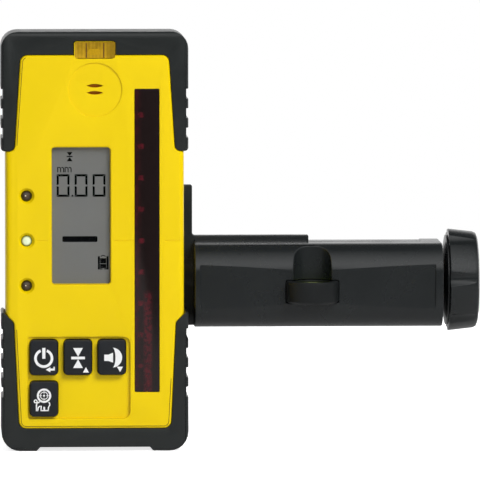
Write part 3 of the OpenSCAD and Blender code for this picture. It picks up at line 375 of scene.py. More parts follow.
@cache
def red_polycarbonate_filter():
    """Deep red polycarbonate over the photodiodes: near black and glossy, with dull red glints painted in a
    row.
    """
    tones = linear("#1A1010"), linear("#7A1428")
    return finish(
        "Polycarbonate red filter", tones, patch=1.6, rough=(0.12, 0.18), share=painted_diode_glints, IOR=1.58)


@cache
def clear_acrylic_polished():
    """Cast acrylic lens: all but invisible, with a thin gloss."""
    tones = linear("#1A1C1C"), linear("#222424")
    return finish("Acrylic clear polished", tones, patch=20, rough=(0.05, 0.08), IOR=1.49, Alpha=0.06)


@cache
def display_polariser():
    """Reflective polariser behind the liquid crystal: flat grey with a faint pearly drift."""
    glass = bpy.context.scene.receiver_display.glass
    tones = tone(glass, 0.93), tone(glass, 1.07)
    return finish("Display polariser", tones, patch=22, rough=(0.34, 0.42), IOR=1.5)


@cache
def display_segment():
    """Switched liquid crystal: dense blue-black and crisp, with no sheen of its own."""
    segment = bpy.context.scene.receiver_display.segment
    tones = segment, tone(segment, 1.6)
    return finish("Display segment", tones, patch=1.5, rough=(0.5, 0.6), IOR=1.5, Specular_IOR_Level=0.0)


def lamp_rim(node, core, rim):
    """From 0 in a lamp's core to 1 at its rim; core and rim are shares of its radius."""
    centre = middle(node)
    radius = 2.5 * MM

    def share(tree, place, patches):
        axes = add_node(tree, "ShaderNodeSeparateXYZ", {"Vector": place})
        level = add_node(tree, "ShaderNodeCombineXYZ", {"X": axes.outputs["X"], "Z": axes.outputs["Z"]})
        reach = add_node(tree, "ShaderNodeVectorMath", {
            0: level, 1: (centre.x, 0, centre.z)}, operation="DISTANCE")
        return add_node(tree, "ShaderNodeMapRange", {
            "Value": reach.outputs["Value"], "From Min": core * radius, "From Max": rim * radius})

    return share


@cache
def lamp_epoxy_idle(node):
    """Water-clear epoxy lamp at rest: the grey-brown die cup shows in the middle of a dark glossy dome."""
    idle = bpy.context.scene.receiver_lamps.idle
    tones = idle, tone(idle, 0.16)
    rim = lamp_rim(node, 0.1, 0.7)
    return finish("Epoxy lamp idle " + node, tones, patch=2, rough=(0.12, 0.18), share=rim, IOR=1.55)


@cache
def lamp_painted_highlight():
    """Painted highlight on an unlit lamp: one pale point near its middle."""
    tones = linear("#CDBFA0"), linear("#E2D8BE")
    return finish("Lamp painted highlight", tones, patch=0.4, rough=(0.3, 0.4), IOR=1.5)


@cache
def lamp_epoxy_lit(node):
    """Water-clear epoxy lamp, lit: a green-white core inside a deep green rim."""
    lamps = bpy.context.scene.receiver_lamps
    tones = lamps.core, lamps.lit
    rim = lamp_rim(node, 0.55, 0.82)
    return finish(
        "Epoxy lamp lit", tones, patch=2, rough=(0.1, 0.16), share=rim, glow=lamps.glow, IOR=1.55)


def amber_painted_light(tree, place, patches):
    """Painted light that gathers towards the lower left of the block, with painted shade at its right end,
    broken by cloudy patches and upright bands.
    """
    low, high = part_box("level_vial")
    shade_from, shade_full = high.x - 3.4 * MM, high.x - 1.2 * MM
    band_pitch, band_strength = 1.5 * MM, 0.16
    axes = add_node(tree, "ShaderNodeSeparateXYZ", {"Vector": place})
    fall = add_node(tree, "ShaderNodeMapRange", {
        "Value": axes.outputs["Z"], "From Min": high.z, "From Max": low.z, "To Min": 0.15, "To Max": 0.75})
    end = add_node(tree, "ShaderNodeMapRange", {
        "Value": axes.outputs["X"], "From Min": shade_from, "From Max": shade_full, "To Max": 0.6})
    lit = add_node(tree, "ShaderNodeMath", {0: fall, 1: end}, operation="SUBTRACT")
    cloud = add_node(tree, "ShaderNodeMapRange", {
        "Value": patches, "From Min": NOISE_LOW, "From Max": NOISE_HIGH, "To Min": -0.3, "To Max": 0.3})
    clouded = add_node(tree, "ShaderNodeMath", {0: lit, 1: cloud}, operation="ADD")
    # Painted bands: the tube's wall bends the light into upright bands
    phase = add_node(tree, "ShaderNodeMath", {
        0: axes.outputs["X"], 1: tau / band_pitch}, operation="MULTIPLY")
    wave = add_node(tree, "ShaderNodeMath", {0: phase}, operation="COSINE")
    bands = add_node(tree, "ShaderNodeMath", {0: wave, 1: band_strength}, operation="MULTIPLY")
    return add_node(tree, "ShaderNodeMath", {0: clouded, 1: bands}, operation="ADD", use_clamp=True)


@cache
def amber_acrylic_block():
    """Amber acrylic block level: honey coloured, glossy and cloudy, with painted light and shade where the
    tube lies in it.
    """
    amber = bpy.context.scene.receiver_levels.amber
    tones = tone(amber, 0.72), tone(amber, 1.4)
    return finish("Acrylic amber block", tones, patch=2.6, rough=(0.14, 0.22), share=amber_painted_light, IOR=1.49)


@cache
def amber_bubble():
    """Bubble in the amber tube: a paler patch that breaks up where it meets the wall."""
    amber = bpy.context.scene.receiver_levels.amber
    tones = amber, tone(amber, 1.5)
    return finish("Bubble in amber spirit", tones, patch=0.7, rough=(0.08, 0.14), IOR=1.36)


@cache
def amber_line_ink():
    """Fired ink lines round the tube: dark brown through the amber."""
    tones = linear("#573802"), linear("#694604")
    return finish("Ink brown on amber", tones, patch=1, rough=(0.5, 0.6), IOR=1.49)


@cache
def green_spirit():
    """Tinted spirit under a polished dome: clear yellow-green, glossy and slightly uneven."""
    green = bpy.context.scene.receiver_levels.green
    tones = tone(green, 0.8), tone(green, 1.15)
    return finish("Spirit green under acrylic", tones, patch=5, rough=(0.05, 0.09), IOR=1.49)


@cache
def green_bubble():
    """The round level's bubble: a pale disc with a bright skin."""
    green = bpy.context.scene.receiver_levels.green
    tones = tone(green, 1.5), linear("#E4EDB0")
    return finish("Bubble in green spirit", tones, patch=2, rough=(0.05, 0.08), IOR=1.36)


@cache
def steel_zinc_plated():
    """Zinc-plated steel: bright grey with fine turning marks that spread the highlight."""
    tones = linear("#B4B6B8"), linear("#CBCCCD")
    return finish("Steel zinc plated", tones, patch=1, rough=(0.26, 0.38), grain=(0.4, 0.006), Metallic=1.0)


@cache
def brass_turned():
    """Turned brass: warm yellow metal with a satin tool finish."""
    tones = linear("#C49C48"), linear("#D9B566")
    return finish("Brass turned", tones, patch=1, rough=(0.22, 0.34), grain=(0.4, 0.006), Metallic=1.0)


@cache
def sounder_brown_dull():
    """Warm brown and dull, with a fine tooth: what shows of the sounder through the sound slots."""
    tones = linear("#B06A00"), linear("#9C5C00")
    return finish("Sounder brown dull", tones, patch=1.2, rough=(0.7, 0.8), grain=(0.3, 0.03), IOR=1.5)


@cache
def board_solder_mask():
    """Glass-epoxy board under green solder mask: glossy green with the faint weave of the glass cloth."""
    tones = linear("#12492C"), linear("#17573A")
    return finish("Solder mask green", tones, patch=1, rough=(0.26, 0.34), grain=(0.8, 0.01), IOR=1.55)


@cache
def component_epoxy():
    """Moulded epoxy of chips and diodes: blue-black and dull."""
    tones = linear("#1C1D21"), linear("#25262B")
    return finish("Epoxy black moulded", tones, patch=1.5, rough=(0.46, 0.54), grain=(0.3, 0.01), IOR=1.55)


def plus_band(tree, place, patches):
    """1 on the band at the plus end of each cell, which lie opposite ways."""
    low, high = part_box("battery_cells")
    band_w = 14 * MM
    axes = add_node(tree, "ShaderNodeSeparateXYZ", {"Vector": place})
    upper = add_node(tree, "ShaderNodeMath", {
        0: axes.outputs["Z"], 1: (low.z + high.z) / 2}, operation="GREATER_THAN")
    from_left = add_node(tree, "ShaderNodeMath", {0: axes.outputs["X"], 1: low.x}, operation="SUBTRACT")
    from_right = add_node(tree, "ShaderNodeMath", {0: high.x, 1: axes.outputs["X"]}, operation="SUBTRACT")
    to_plus = add_node(tree, "ShaderNodeMix", {0: upper, 2: from_right, 3: from_left}, data_type="FLOAT")
    return add_node(tree, "ShaderNodeMath", {0: to_plus, 1: band_w}, operation="LESS_THAN")


@cache
def cell_sleeve_shrunk():
    """Shrink sleeve on a cell: glossy dark grey with a plain copper band at the plus end."""
    tones = linear("#2C2E31"), linear("#B0703C")
    return finish("PVC sleeve shrunk", tones, patch=2, rough=(0.24, 0.34), share=plus_band, IOR=1.54)


# Meshes


def add_object(name, data):
    """A new object in the scene."""
    obj = bpy.data.objects.new(name, data)
    bpy.context.scene.collection.objects.link(obj)
    return obj


def add_mesh(name, bm, material):
    """A new mesh object made from a bmesh, which is used up."""
    mesh = bpy.data.meshes.new(name)
    bm.to_mesh(mesh)
    bm.free()
    mesh.materials.append(material)
    return add_object(name, mesh)


def put(name, bm, material, body, stands_for=()):
    """Makes a piece from a bmesh, in its material, riding on a body."""
    bmesh.ops.recalc_face_normals(bm, faces=bm.faces)
    piece = add_mesh(name, bm, material)
    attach(piece, body)
    if stands_for:
        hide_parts(*stands_for)
    add_shading(piece)


def geometry_group(name):
    """A new group of geometry nodes, and its input node."""
    group = bpy.data.node_groups.new(name, "GeometryNodeTree")
    for way in ("INPUT", "OUTPUT"):
        group.interface.new_socket("Geometry", in_out=way, socket_type="NodeSocketGeometry")
    return group, add_node(group, "NodeGroupInput")


def add_shading(obj, limit=SHARP_EDGE):
    """Shades an object smooth between edges that are sharper than the limit."""
    shading = obj.modifiers.new("shading", "NODES")
    shading.node_group = shade_by_angle(limit)


@cache
def shade_by_angle(limit):
    """Smooth faces that break at every edge sharper than the limit, in degrees."""
    group, source = geometry_group("shade_by_angle")
    angle = add_node(group, "GeometryNodeInputMeshEdgeAngle")
    sharp = add_node(group, "FunctionNodeCompare", {0: angle.outputs["Unsigned Angle"], 1: radians(limit)})
    normals = add_node(group, "GeometryNodeSetMeshNormal", {
        "Mesh": source, "Remove Custom": True, "Edge Sharpness": sharp, "Face Sharpness": False,
    }, mode="SHARPNESS")
    add_node(group, "NodeGroupOutput", {0: normals})
    return group


def rounding(name, small_share, quiet_boxes):
    """Stores how much of the rounding each outer edge gets: all of it, or small_share in the quiet boxes."""
    group, source = geometry_group(name)
    angle = add_node(group, "GeometryNodeInputMeshEdgeAngle")
    outer = add_node(group, "FunctionNodeCompare", {
        0: angle.outputs["Signed Angle"], 1: radians(OUTER_EDGE)})
    place = add_node(group, "GeometryNodeInputPosition")
    weight = add_node(group, "ShaderNodeMath", {0: outer, 1: 1.0}, operation="MULTIPLY")
    for low, high in quiet_boxes:
        above = add_node(group, "FunctionNodeCompare", {4: place, 5: low}, data_type="VECTOR")
        below = add_node(group, "FunctionNodeCompare", {
            4: place, 5: high}, data_type="VECTOR", operation="LESS_THAN")
        inside = add_node(group, "FunctionNodeBooleanMath", {0: above, 1: below})
        quiet = add_node(group, "ShaderNodeMapRange", {
            "Value": inside, "To Min": 1.0, "To Max": small_share})
        least = add_node(group, "ShaderNodeMath", {0: outer, 1: quiet}, operation="MULTIPLY")
        weight = add_node(group, "ShaderNodeMath", {0: weight, 1: least}, operation="MINIMUM")
    stored = add_node(group, "GeometryNodeStoreNamedAttribute", {
        "Geometry": source, "Name": "bevel_weight_edge", "Value": weight}, domain="EDGE")
    add_node(group, "NodeGroupOutput", {0: stored})
    return group


@cache
def even_rounding():
    """The full rounding on every outer edge."""
    return rounding("even_rounding", 1.0, ())


def dress(material, edge, *nodes, group=None, segments=3, limit=SHARP_EDGE, merge_flats=True):
    """Gives CAD nodes a material and rounds their outer edges by edge, with modifiers alone.

    merge_flats joins the triangles of flat faces first; a large face with many holes tears with it.
    """
    flat_limit = 0.4
    for node in nodes:
        obj = NODES[node]
        obj.data.materials.clear()
        obj.data.materials.append(material)
        weld = obj.modifiers.new("weld", "WELD")
        weld.merge_threshold = WELD
        if merge_flats:
            flats = obj.modifiers.new("flats", "DECIMATE")
            flats.decimate_type = "DISSOLVE"
            flats.angle_limit = radians(flat_limit)
        if edge > 0:
            weights = obj.modifiers.new("weights", "NODES")
            weights.node_group = group or even_rounding()
            bevel = obj.modifiers.new("edges", "BEVEL")
            bevel.limit_method = "WEIGHT"
            bevel.width = edge
            bevel.segments = segments
            bevel.use_clamp_overlap = False
            bevel.loop_slide = False
        add_shading(obj, limit)


def arc(centre, radius, start, end, steps):
    """Points on an arc, in degrees counted from +x towards +z."""
    turns = [radians(start + (end - start) * i / steps) for i in range(steps + 1)]
    return [(centre[0] + radius * cos(t), centre[1] + radius * sin(t)) for t in turns]


def between(outer, inner):
    """The quads between two lines with as many points."""
    return [[a, b, d, c] for a, b, c, d in zip(outer, outer[1:], inner, inner[1:])]


def band(centre, outer, inner, start=0, end=360, steps=32):
    """A ring or part of one, as quads."""
    return between(arc(centre, outer, start, end, steps), arc(centre, inner, start, end, steps))


def disc(centre, radius, steps=24):
    return [arc(centre, radius, 0, 360, steps)[:-1]]


def block(x0, z0, x1, z1):
    return [[(x0, z0), (x1, z0), (x1, z1), (x0, z1)]]


def rounded_block(x0, z0, x1, z1, r, steps=4):
    return [
        arc((x1 - r, z1 - r), r, 0, 90, steps) + arc((x0 + r, z1 - r), r, 90, 180, steps)
        + arc((x0 + r, z0 + r), r, 180, 270, steps) + arc((x1 - r, z0 + r), r, 270, 360, steps)
    ]


def stroke(points, width):
    """A drawn line through the points, mitred at each of them."""
    sides = []
    for i, point in enumerate(points):
        before, after = Vector(points[max(i - 1, 0)]), Vector(points[min(i + 1, len(points) - 1)])
        along = (after - before).normalized()
        across = Vector((-along.y, along.x)) * width / 2
        sides.append((tuple(Vector(point) + across), tuple(Vector(point) - across)))
    return [[a[0], b[0], b[1], a[1]] for a, b in zip(sides, sides[1:])]


def printed(shapes, at, thickness):
    """Flat shapes in millimetres round a point, raised towards the front by thickness."""
    sunk, join = 0.005 * MM, 0.002 * MM
    bm = bmesh.new()
    for points in shapes:
        bm.faces.new([bm.verts.new((at.x + x * MM, at.y + sunk, at.z + z * MM)) for x, z in points])
    bmesh.ops.remove_doubles(bm, verts=bm.verts, dist=join)
    raised = bmesh.ops.extrude_face_region(bm, geom=bm.faces[:])
    moved = [g for g in raised["geom"] if isinstance(g, bmesh.types.BMVert)]
    bmesh.ops.translate(bm, verts=moved, vec=(0, -sunk - thickness, 0))
    return bm


AXES = {
    "x": (Vector((1, 0, 0)), Vector((0, 1, 0)), Vector((0, 0, 1))),
    "y": (Vector((0, 1, 0)), Vector((0, 0, 1)), Vector((1, 0, 0))),
    "z": (Vector((0, 0, 1)), Vector((1, 0, 0)), Vector((0, 1, 0))),
}


def turned(bm, at, axis, profile, steps=40):
    """Turns a profile of (along, radius) about an axis through at. A radius may depend on the turn."""
    along, across, up = AXES[axis]
    rings = []
    for reach, radius in profile:
        if radius == 0:
            rings.append([bm.verts.new(at + along * reach)])
            continue
        ring = []
        for i in range(steps):
            turn = tau * i / steps
            r = radius(turn) if callable(radius) else radius
            ring.append(bm.verts.new(at + along * reach + (across * cos(turn) + up * sin(turn)) * r))
        rings.append(ring)
    for ring, following in zip(rings, rings[1:]):
        for i in range(steps):
            j = (i + 1) % steps
            corners = [ring[i % len(ring)], ring[j % len(ring)], following[j % len(following)],
                       following[i % len(following)]]
            bm.faces.new(list(dict.fromkeys(corners)))
    return bm


def thread(start, end, root, crest, pitch, starts=1, run_out=1.5):
    """The profile of a threaded length: radius follows the turn, and the thread fades out at both ends."""
    steps_per_pitch = 10
    count = round((end - start) / pitch * steps_per_pitch)

    def cut_at(reach):
        fade = min((reach - start) / (run_out * pitch), (end - reach) / (run_out * pitch), 1.0)

        def radius(turn):
            phase = (reach / pitch - starts * turn / tau) % 1.0
            # Flat at the crest, flat at the root, and straight flanks between them
            height = min(max(2.0 - abs(phase - 0.5) * 5.0, 0.0), 1.0)
            return root + (crest - root) * height * max(fade, 0.0)

        return radius

    reaches = [start + (end - start) * i / count for i in range(count + 1)]
    return [(reach, cut_at(reach)) for reach in reaches]


def six_lobe(mean, swing):
    """A six-lobed socket's radius at each turn."""
    return lambda turn: mean + swing * cos(6 * turn)


def screws(name, node, body):
    """Pan screws with six-lobed sockets where the CAD node has its screws, heads to the back."""
    head_t, point, plain, pitch = 2.0 * MM, 0.8 * MM, 0.4 * MM, 1.0 * MM
    bm = bmesh.new()
    for low, high in loose_boxes(NODES[node]):
        centre = (low + high) / 2
        head_r = (high.x - low.x) / 2
        top, tip = high.y - centre.y, low.y - centre.y
        seat = top - head_t
        shank = 0.515 * head_r
        core = 0.8 * shank
        lobe = 0.07 * head_r
        turned(bm, centre, "y", [
            (tip, 0),
            (tip, 0.35 * shank),
            (tip + point, core),
            *thread(tip + point, seat - plain, core, shank, pitch),
            (seat, shank),
            (seat, 0.98 * head_r),
            (top - 0.55 * head_t, head_r),
            (top - 0.2 * head_t, 0.93 * head_r),
            (top - 0.04 * head_t, 0.78 * head_r),
            (top, 0.62 * head_r),
            (top, six_lobe(0.45 * head_r, lobe)),
            (top - 0.6 * head_t, six_lobe(0.43 * head_r, lobe)),
            (top - 0.68 * head_t, 0),
        ], steps=48)
    put(name, bm, steel_zinc_plated(), body, (node,))


def loose_boxes(obj):
    """The box of each separate solid in a CAD node."""
    bm = bmesh.new()
    bm.from_mesh(obj.data)
    bmesh.ops.remove_doubles(bm, verts=bm.verts, dist=WELD)
    found, seen = [], set()
    for vert in bm.verts:
        if vert in seen:
            continue
        group, waiting = [], [vert]
        seen.add(vert)
        while waiting:
            current = waiting.pop()
            group.append(current.co.copy())
            for edge in current.link_edges:
                other = edge.other_vert(current)
                if other not in seen:
                    seen.add(other)
                    waiting.append(other)
        found.append((Vector(map(min, *group)), Vector(map(max, *group))))
    bm.free()
    return found


# Operators


def seen_directly(tree):
    """The light path, and 1 where the camera looks straight or through clear plastic."""
    rays = add_node(tree, "ShaderNodeLightPath")
    shown = add_node(tree, "ShaderNodeMath", {
        0: rays.outputs["Is Camera Ray"], 1: rays.outputs["Is Transmission Ray"]}, operation="MAXIMUM")
    return rays, shown


class RECEIVER_OT_stage(bpy.types.Operator):
    """Floor, lamps, white surroundings and the camera"""

    bl_idname = "receiver.stage"
    bl_label = "Set the stage"

    def execute(self, context):
        studio = context.scene.receiver_studio
        aim = RECEIVER_ZERO + Vector(studio.aim)
        self.camera(context.scene, studio, aim)
        # Each lamp's power, place from the aim point, and width and height, in metres
        lamps = {
            "key_light": (studio.key_light, (0.68, -1.05, 1.02), (0.85, 0.65)),
            "fill_light": (studio.fill_light, (0.2, -1.5, 0.15), (1.6, 1.2)),
            "back_light": (studio.back_light, (-0.5, 1.2, 0.7), (0.9, 0.7)),
        }
        for name, (power, offset, size) in lamps.items():
            self.lamp(name, power, aim, Vector(offset), size)
        self.floor(aim)
        self.surroundings(context.scene, studio)
        context.scene.view_settings.view_transform = "Standard"
        return {"FINISHED"}

    def camera(self, scene, studio, aim):
        data = bpy.data.cameras.new("camera")
        data.lens = data.sensor_width * studio.distance / studio.frame_w
        data.clip_end = 20
        camera = add_object("camera", data)
        back = Vector((
            sin(studio.azimuth) * cos(studio.elevation),
            -cos(studio.azimuth) * cos(studio.elevation),
            sin(studio.elevation),
        ))
        camera.location = aim + back * studio.distance
        camera.rotation_euler = (-back).to_track_quat("-Z", "Y").to_euler()
        scene.camera = camera

    def lamp(self, name, power, aim, offset, size):
        data = bpy.data.lights.new(name, "AREA")
        data.energy = power
        data.shape = "RECTANGLE"
        data.size, data.size_y = size
        lamp = add_object(name, data)
        lamp.location = aim + offset
        lamp.rotation_euler = (-offset).to_track_quat("-Z", "Y").to_euler()
        # Glossy surfaces mirror the wall and the soft box of the surroundings instead
        lamp.visible_glossy = False

    def floor(self, aim):
        radius, gap = 0.7, 0.05 * MM
        centre = Vector((aim.x, aim.y, RECEIVER_ZERO.z - gap))
        bm = bmesh.new()
        bmesh.ops.create_circle(bm, cap_ends=True, segments=96, radius=radius)
        bmesh.ops.translate(bm, verts=bm.verts, vec=centre)
        floor = add_mesh("floor", bm, self.paper())

    def paper(self):
        """Seamless white paper: it shows as white from above and keeps the soft shadow."""
        lift, mirrored_grey = 0.75, 0.4
        material = bpy.data.materials.new("Paper white")
        tree = empty_tree(material)
        rays, shown = seen_directly(tree)
        lifted = add_node(tree, "ShaderNodeMath", {0: shown, 1: lift}, operation="MULTIPLY")
        matt = add_node(tree, "ShaderNodeBsdfDiffuse", {"Color": linear("#F7F7F7")})
        glow = add_node(tree, "ShaderNodeEmission", {"Strength": lifted})
        lit = add_node(tree, "ShaderNodeAddShader", {0: matt, 1: glow})
        # In glossy surfaces the sheet shows as the grey of a studio floor that falls away into the dark
        dim = add_node(tree, "ShaderNodeEmission", {"Strength": mirrored_grey})
        mirrored = add_node(tree, "ShaderNodeMixShader", {0: rays.outputs["Is Glossy Ray"], 1: lit, 2: dim})
        side = add_node(tree, "ShaderNodeNewGeometry")
        open_below = add_node(tree, "ShaderNodeBsdfTransparent")
        sheet = add_node(tree, "ShaderNodeMixShader", {
            0: side.outputs["Backfacing"], 1: mirrored, 2: open_below})
        add_node(tree, "ShaderNodeOutputMaterial", {"Surface": sheet})
        return material

    def surroundings(self, scene, studio):
        """White to the camera, an even level for the light, and in reflections a wall and a soft box."""
        world = bpy.data.worlds.new("surroundings")
        scene.world = world
        tree = empty_tree(world)
        rays, shown = seen_directly(tree)
        plain = add_node(tree, "ShaderNodeMath", {0: shown, 1: studio.ambient}, operation="MAXIMUM")
        place = add_node(tree, "ShaderNodeTexCoord")
        axes = add_node(tree, "ShaderNodeSeparateXYZ", {"Vector": place.outputs["Generated"]})
        # The wall stands behind, low down, and the soft box hangs in front and weakens towards the zenith:
        # where each starts and is full, in depth and in height of the direction looked in, and its level
        wall = ((-0.3, 0.4), (0.6, 0.35), 1)
        soft_box = ((0.18, -1), (0.2, 0.4), studio.sheen)
        mirrored = 0.06
        for depths, heights, level in (wall, soft_box):
            along = add_node(tree, "ShaderNodeMapRange", {
                "Value": axes.outputs["Y"], "From Min": depths[0], "From Max": depths[1], "To Max": level})
            above = add_node(tree, "ShaderNodeMapRange", {
                "Value": axes.outputs["Z"], "From Min": heights[0], "From Max": heights[1]})
            lit = add_node(tree, "ShaderNodeMath", {0: along, 1: above}, operation="MULTIPLY")
            mirrored = add_node(tree, "ShaderNodeMath", {0: lit, 1: mirrored}, operation="MAXIMUM")
        strength = add_node(tree, "ShaderNodeMix", {
            0: rays.outputs["Is Glossy Ray"], 2: plain, 3: mirrored}, data_type="FLOAT")
        sky = add_node(tree, "ShaderNodeBackground", {"Color": linear("#FFFFFF"), "Strength": strength})
        add_node(tree, "ShaderNodeOutputWorld", {"Surface": sky})


class RECEIVER_OT_housing(bpy.types.Operator):
    """Moulded shells with rounded panel edges, their gasket and their screws"""

    bl_idname = "receiver.housing"
    bl_label = "Mould the housing"

    def execute(self, context):
        settings = context.scene.receiver_housing
        low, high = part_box("front_housing")
        far = 1.0
        inside_legs, between_tips = 29.8 * MM, 28 * MM
        above_foot, below_head = 7.2 * MM, 7.6 * MM
        tab_half_w, tab_h = 10 * MM, 11.5 * MM
        field = (
            Vector((RECEIVER_ZERO.x - inside_legs, -far, low.z + above_foot)),
            Vector((RECEIVER_ZERO.x + inside_legs, far, high.z - below_head)),
        )
        waist = (Vector((-far, -far, GRADE_Z - between_tips)), Vector((far, far, GRADE_Z + between_tips)))
        tab = (
            Vector((RECEIVER_ZERO.x - tab_half_w, -far, high.z - tab_h)),
            Vector((RECEIVER_ZERO.x + tab_half_w, far, far)),
        )
        share = settings.small_edge / settings.panel_edge
        edges = rounding("panel_rounding", share, (field, waist, tab))
        dress(yellow_abs_moulded(), settings.panel_edge, "front_housing", group=edges, segments=4)
        dress(yellow_abs_moulded(), settings.small_edge, "rear_housing", segments=2, merge_flats=False)
        dress(grey_elastomer_pressed(), 0, "housing_gasket")
        screws("housing_screw_set", "housing_screws", "receiver")
        # A painted hairline of shade in the rounding of the front panel
        self.painted_edge_shade()
        return {"FINISHED"}

    def painted_edge_shade(self):
        """Painted shade in the rounding of the front panel: a hairline down its left side and along its
        bottom.
        """
        corner_r, line_w, line_t = 2.0, 0.26, 0.02 * MM
        head_corner, foot_x, foot_z = (-27.5, 160.1), 28.3, 12.4
        upper_tip, lower_tip, right_end = (-31.85, 126), (-32.15, 50.3), (31.25, 30)
        upper = [upper_tip, *arc(head_corner, corner_r, 180, 110, 6)]
        lower = [
            lower_tip,
            *arc((-foot_x, foot_z), corner_r, 180, 270, 6),
            *arc((foot_x, foot_z), corner_r, 270, 360, 6),
            right_end,
        ]
        lines = printed([*stroke(upper, line_w), *stroke(lower, line_w)], RECEIVER_ZERO, line_t)
        put("panel_painted_edge_shade", lines, yellow_abs_painted_edge_shade(), "receiver")


class RECEIVER_OT_bumpers(bpy.types.Operator):
    """Rubber bumpers at the top and the bottom"""

    bl_idname = "receiver.bumpers"
    bl_label = "Mould the bumpers"

    def execute(self, context):
        edge = context.scene.receiver_housing.rubber_edge
        dress(black_elastomer_overmoulded(), edge, "top_bumper", "bottom_bumper")
        return {"FINISHED"}


SEGMENTS = {
    "0": "abcdef", "1": "bc", "2": "abdeg", "3": "abcdg", "4": "bcfg",
    "5": "acdfg", "6": "acdefg", "7": "abc", "8": "abcdefg", "9": "abcdfg",
}


def seven_segments(digit, left, bottom, width, height, bar):
    """The switched segments of one digit, bars with mitred ends and a hair gap between them."""
    gap, slant = 0.07, 0.1
    right, top, half = left + width, bottom + height, bottom + height / 2

    def upright(x_out, x_in, end):
        """An outer bar from the middle to the digit's top or bottom."""
        way = 1 if end > half else -1
        near, far, lean = half + way * gap, end - way * gap, way * bar
        return [(x_out, near + lean * slant), (x_in, near + lean / 2), (x_in, far - lean), (x_out, far)]

    def level(z, z_in):
        """The bar along the digit's top or bottom."""
        return [(left + gap, z), (right - gap, z), (right - bar - gap, z_in), (left + bar + gap, z_in)]

    outlines = {
        "a": level(top, top - bar),
        "b": upright(right, right - bar, top),
        "c": upright(right, right - bar, bottom),
        "d": level(bottom, bottom + bar),
        "e": upright(left, left + bar, bottom),
        "f": upright(left, left + bar, top),
        "g": [(left + bar / 2, half), (left + bar, half + bar / 2), (right - bar, half + bar / 2),
              (right - bar / 2, half), (right - bar, half - bar / 2), (left + bar, half - bar / 2)],
    }
    return [outlines[name] for name in SEGMENTS[digit]]


class RECEIVER_OT_display(bpy.types.Operator):
    """Display panel under its lens, with the reading, the grade bar and the status signs"""

    bl_idname = "receiver.display"
    bl_label = "Make the display"

    def execute(self, context):
        settings = context.scene.receiver_display
        dress(clear_acrylic_polished(), 0.1 * MM, "lcd_lens")
        dress(display_polariser(), 0, "lcd_panel")
        dress(grey_elastomer_pressed(), 0, "lcd_connectors")
        face = face_of("lcd_panel")
        segment_t = 0.03 * MM
        shapes = [
            *self.reading(settings), *self.unit(), *self.hourglass(), *self.grade_bar(face), *self.battery()]
        put("display_signs", printed(shapes, face, segment_t), display_segment(), "receiver")
        self.window_corners()
        return {"FINISHED"}

    def window_corners(self):
        """Fillets of the shell's plastic in the four corners of the window."""
        low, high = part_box("lcd_lens")
        half_w, half_h = (high.x - low.x) / 2 / MM, (high.z - low.z) / 2 / MM
        corner_r, fillet_t = 1.6, 0.02 * MM
        shapes = []
        for start, across, up in ((0, 1, 1), (90, -1, 1), (180, -1, -1), (270, 1, -1)):
            centre = (across * (half_w - corner_r), up * (half_h - corner_r))
            rim = arc(centre, corner_r, start, start + 90, 6)
            corner = (across * half_w, up * half_h)
            shapes += [[corner, b, a] for a, b in zip(rim, rim[1:])]
        fillets = printed(shapes, on_panel("lcd_lens"), fillet_t)
        put("window_corners", fillets, yellow_abs_moulded(), "receiver")

    def reading(self, settings):
        """The digits and the point of the number shown."""
        width, height, bar = (v / MM for v in (settings.digit_w, settings.digit_h, settings.stroke))
        left, bottom = -9.96, 7.67
        dot_gap, dot_foot, dot_w, dot_r = 0.82, 0.04, 0.76, 0.18
        shapes = []
        for mark in settings.reading:
            if mark == ".":
                dot, foot = left - settings.digit_pitch / MM + width + dot_gap, bottom + dot_foot
                shapes += rounded_block(dot, foot, dot + dot_w, foot + dot_w, dot_r)
                continue
            shapes += seven_segments(mark, left, bottom, width, height, bar)
            left += settings.digit_pitch / MM
        return shapes

    def unit(self):
        """Two small m letters for millimetres."""
        line_w, low, high, leg = 0.4, 17.77, 19.94, 1.22
        outer = (leg + line_w) / 2
        shapes = []
        for left in (-9.7, -6.65):
            shapes += block(left, low, left + line_w, high)
            for x in (left, left + leg):
                arch = (x + outer, high - outer)
                shapes += band(arch, outer, outer - line_w, 0, 120, 8)
                shapes += block(x + leg, low, x + leg + line_w, arch[1])
        return shapes

    def hourglass(self):
        """Two triangles that point at a short bar."""
        x, half_w = -4.6, 1.22
        top, upper_tip, bar_top, bar_foot, lower_tip, foot = 26.07, 24.5, 24.47, 24.02, 23.98, 22.29
        return [
            [(x - half_w, top), (x + half_w, top), (x, upper_tip)],
            *block(x - half_w, bar_foot, x + half_w, bar_top),
            [(x - half_w, foot), (x + half_w, foot), (x, lower_tip)],
        ]

    def grade_bar(self, face):
        """The bar that says the beam is on grade, level with the marks on the housing."""
        level = (GRADE_Z - face.z) / MM
        left, right, below, above, corner_r = -7.65, 6.8, 0.65, 1.75, 0.53
        return rounded_block(left, level - below, right, level + above, corner_r)

    def battery(self):
        """A battery's outline with two full cells."""
        left, right, foot, top = 6.92, 11.31, -22.26, -16.83
        column, gap, sill, half_notch = 0.85, 0.12, 0.4, 0.3
        upper_cell, lower_cell = (-19.78, -17.63), (-21.73, -20.0)
        cap_z, cap_outer, cap_inner = -17.43, 1.15, 0.8
        middle_x = (left + right) / 2
        cell_left, cell_right = left + column + gap, right - column - gap
        return [
            *block(left, foot, left + column, top),
            *block(right - column, foot, right, top),
            *block(cell_left, upper_cell[0], cell_right, upper_cell[1]),
            *block(cell_left, lower_cell[0], cell_right, lower_cell[1]),
            *block(left + column, foot, middle_x - half_notch, foot + sill),
            *block(middle_x + half_notch, foot, right - column, foot + sill),
            *band((middle_x, cap_z), cap_outer, cap_inner, 25, 155, 10),
        ]


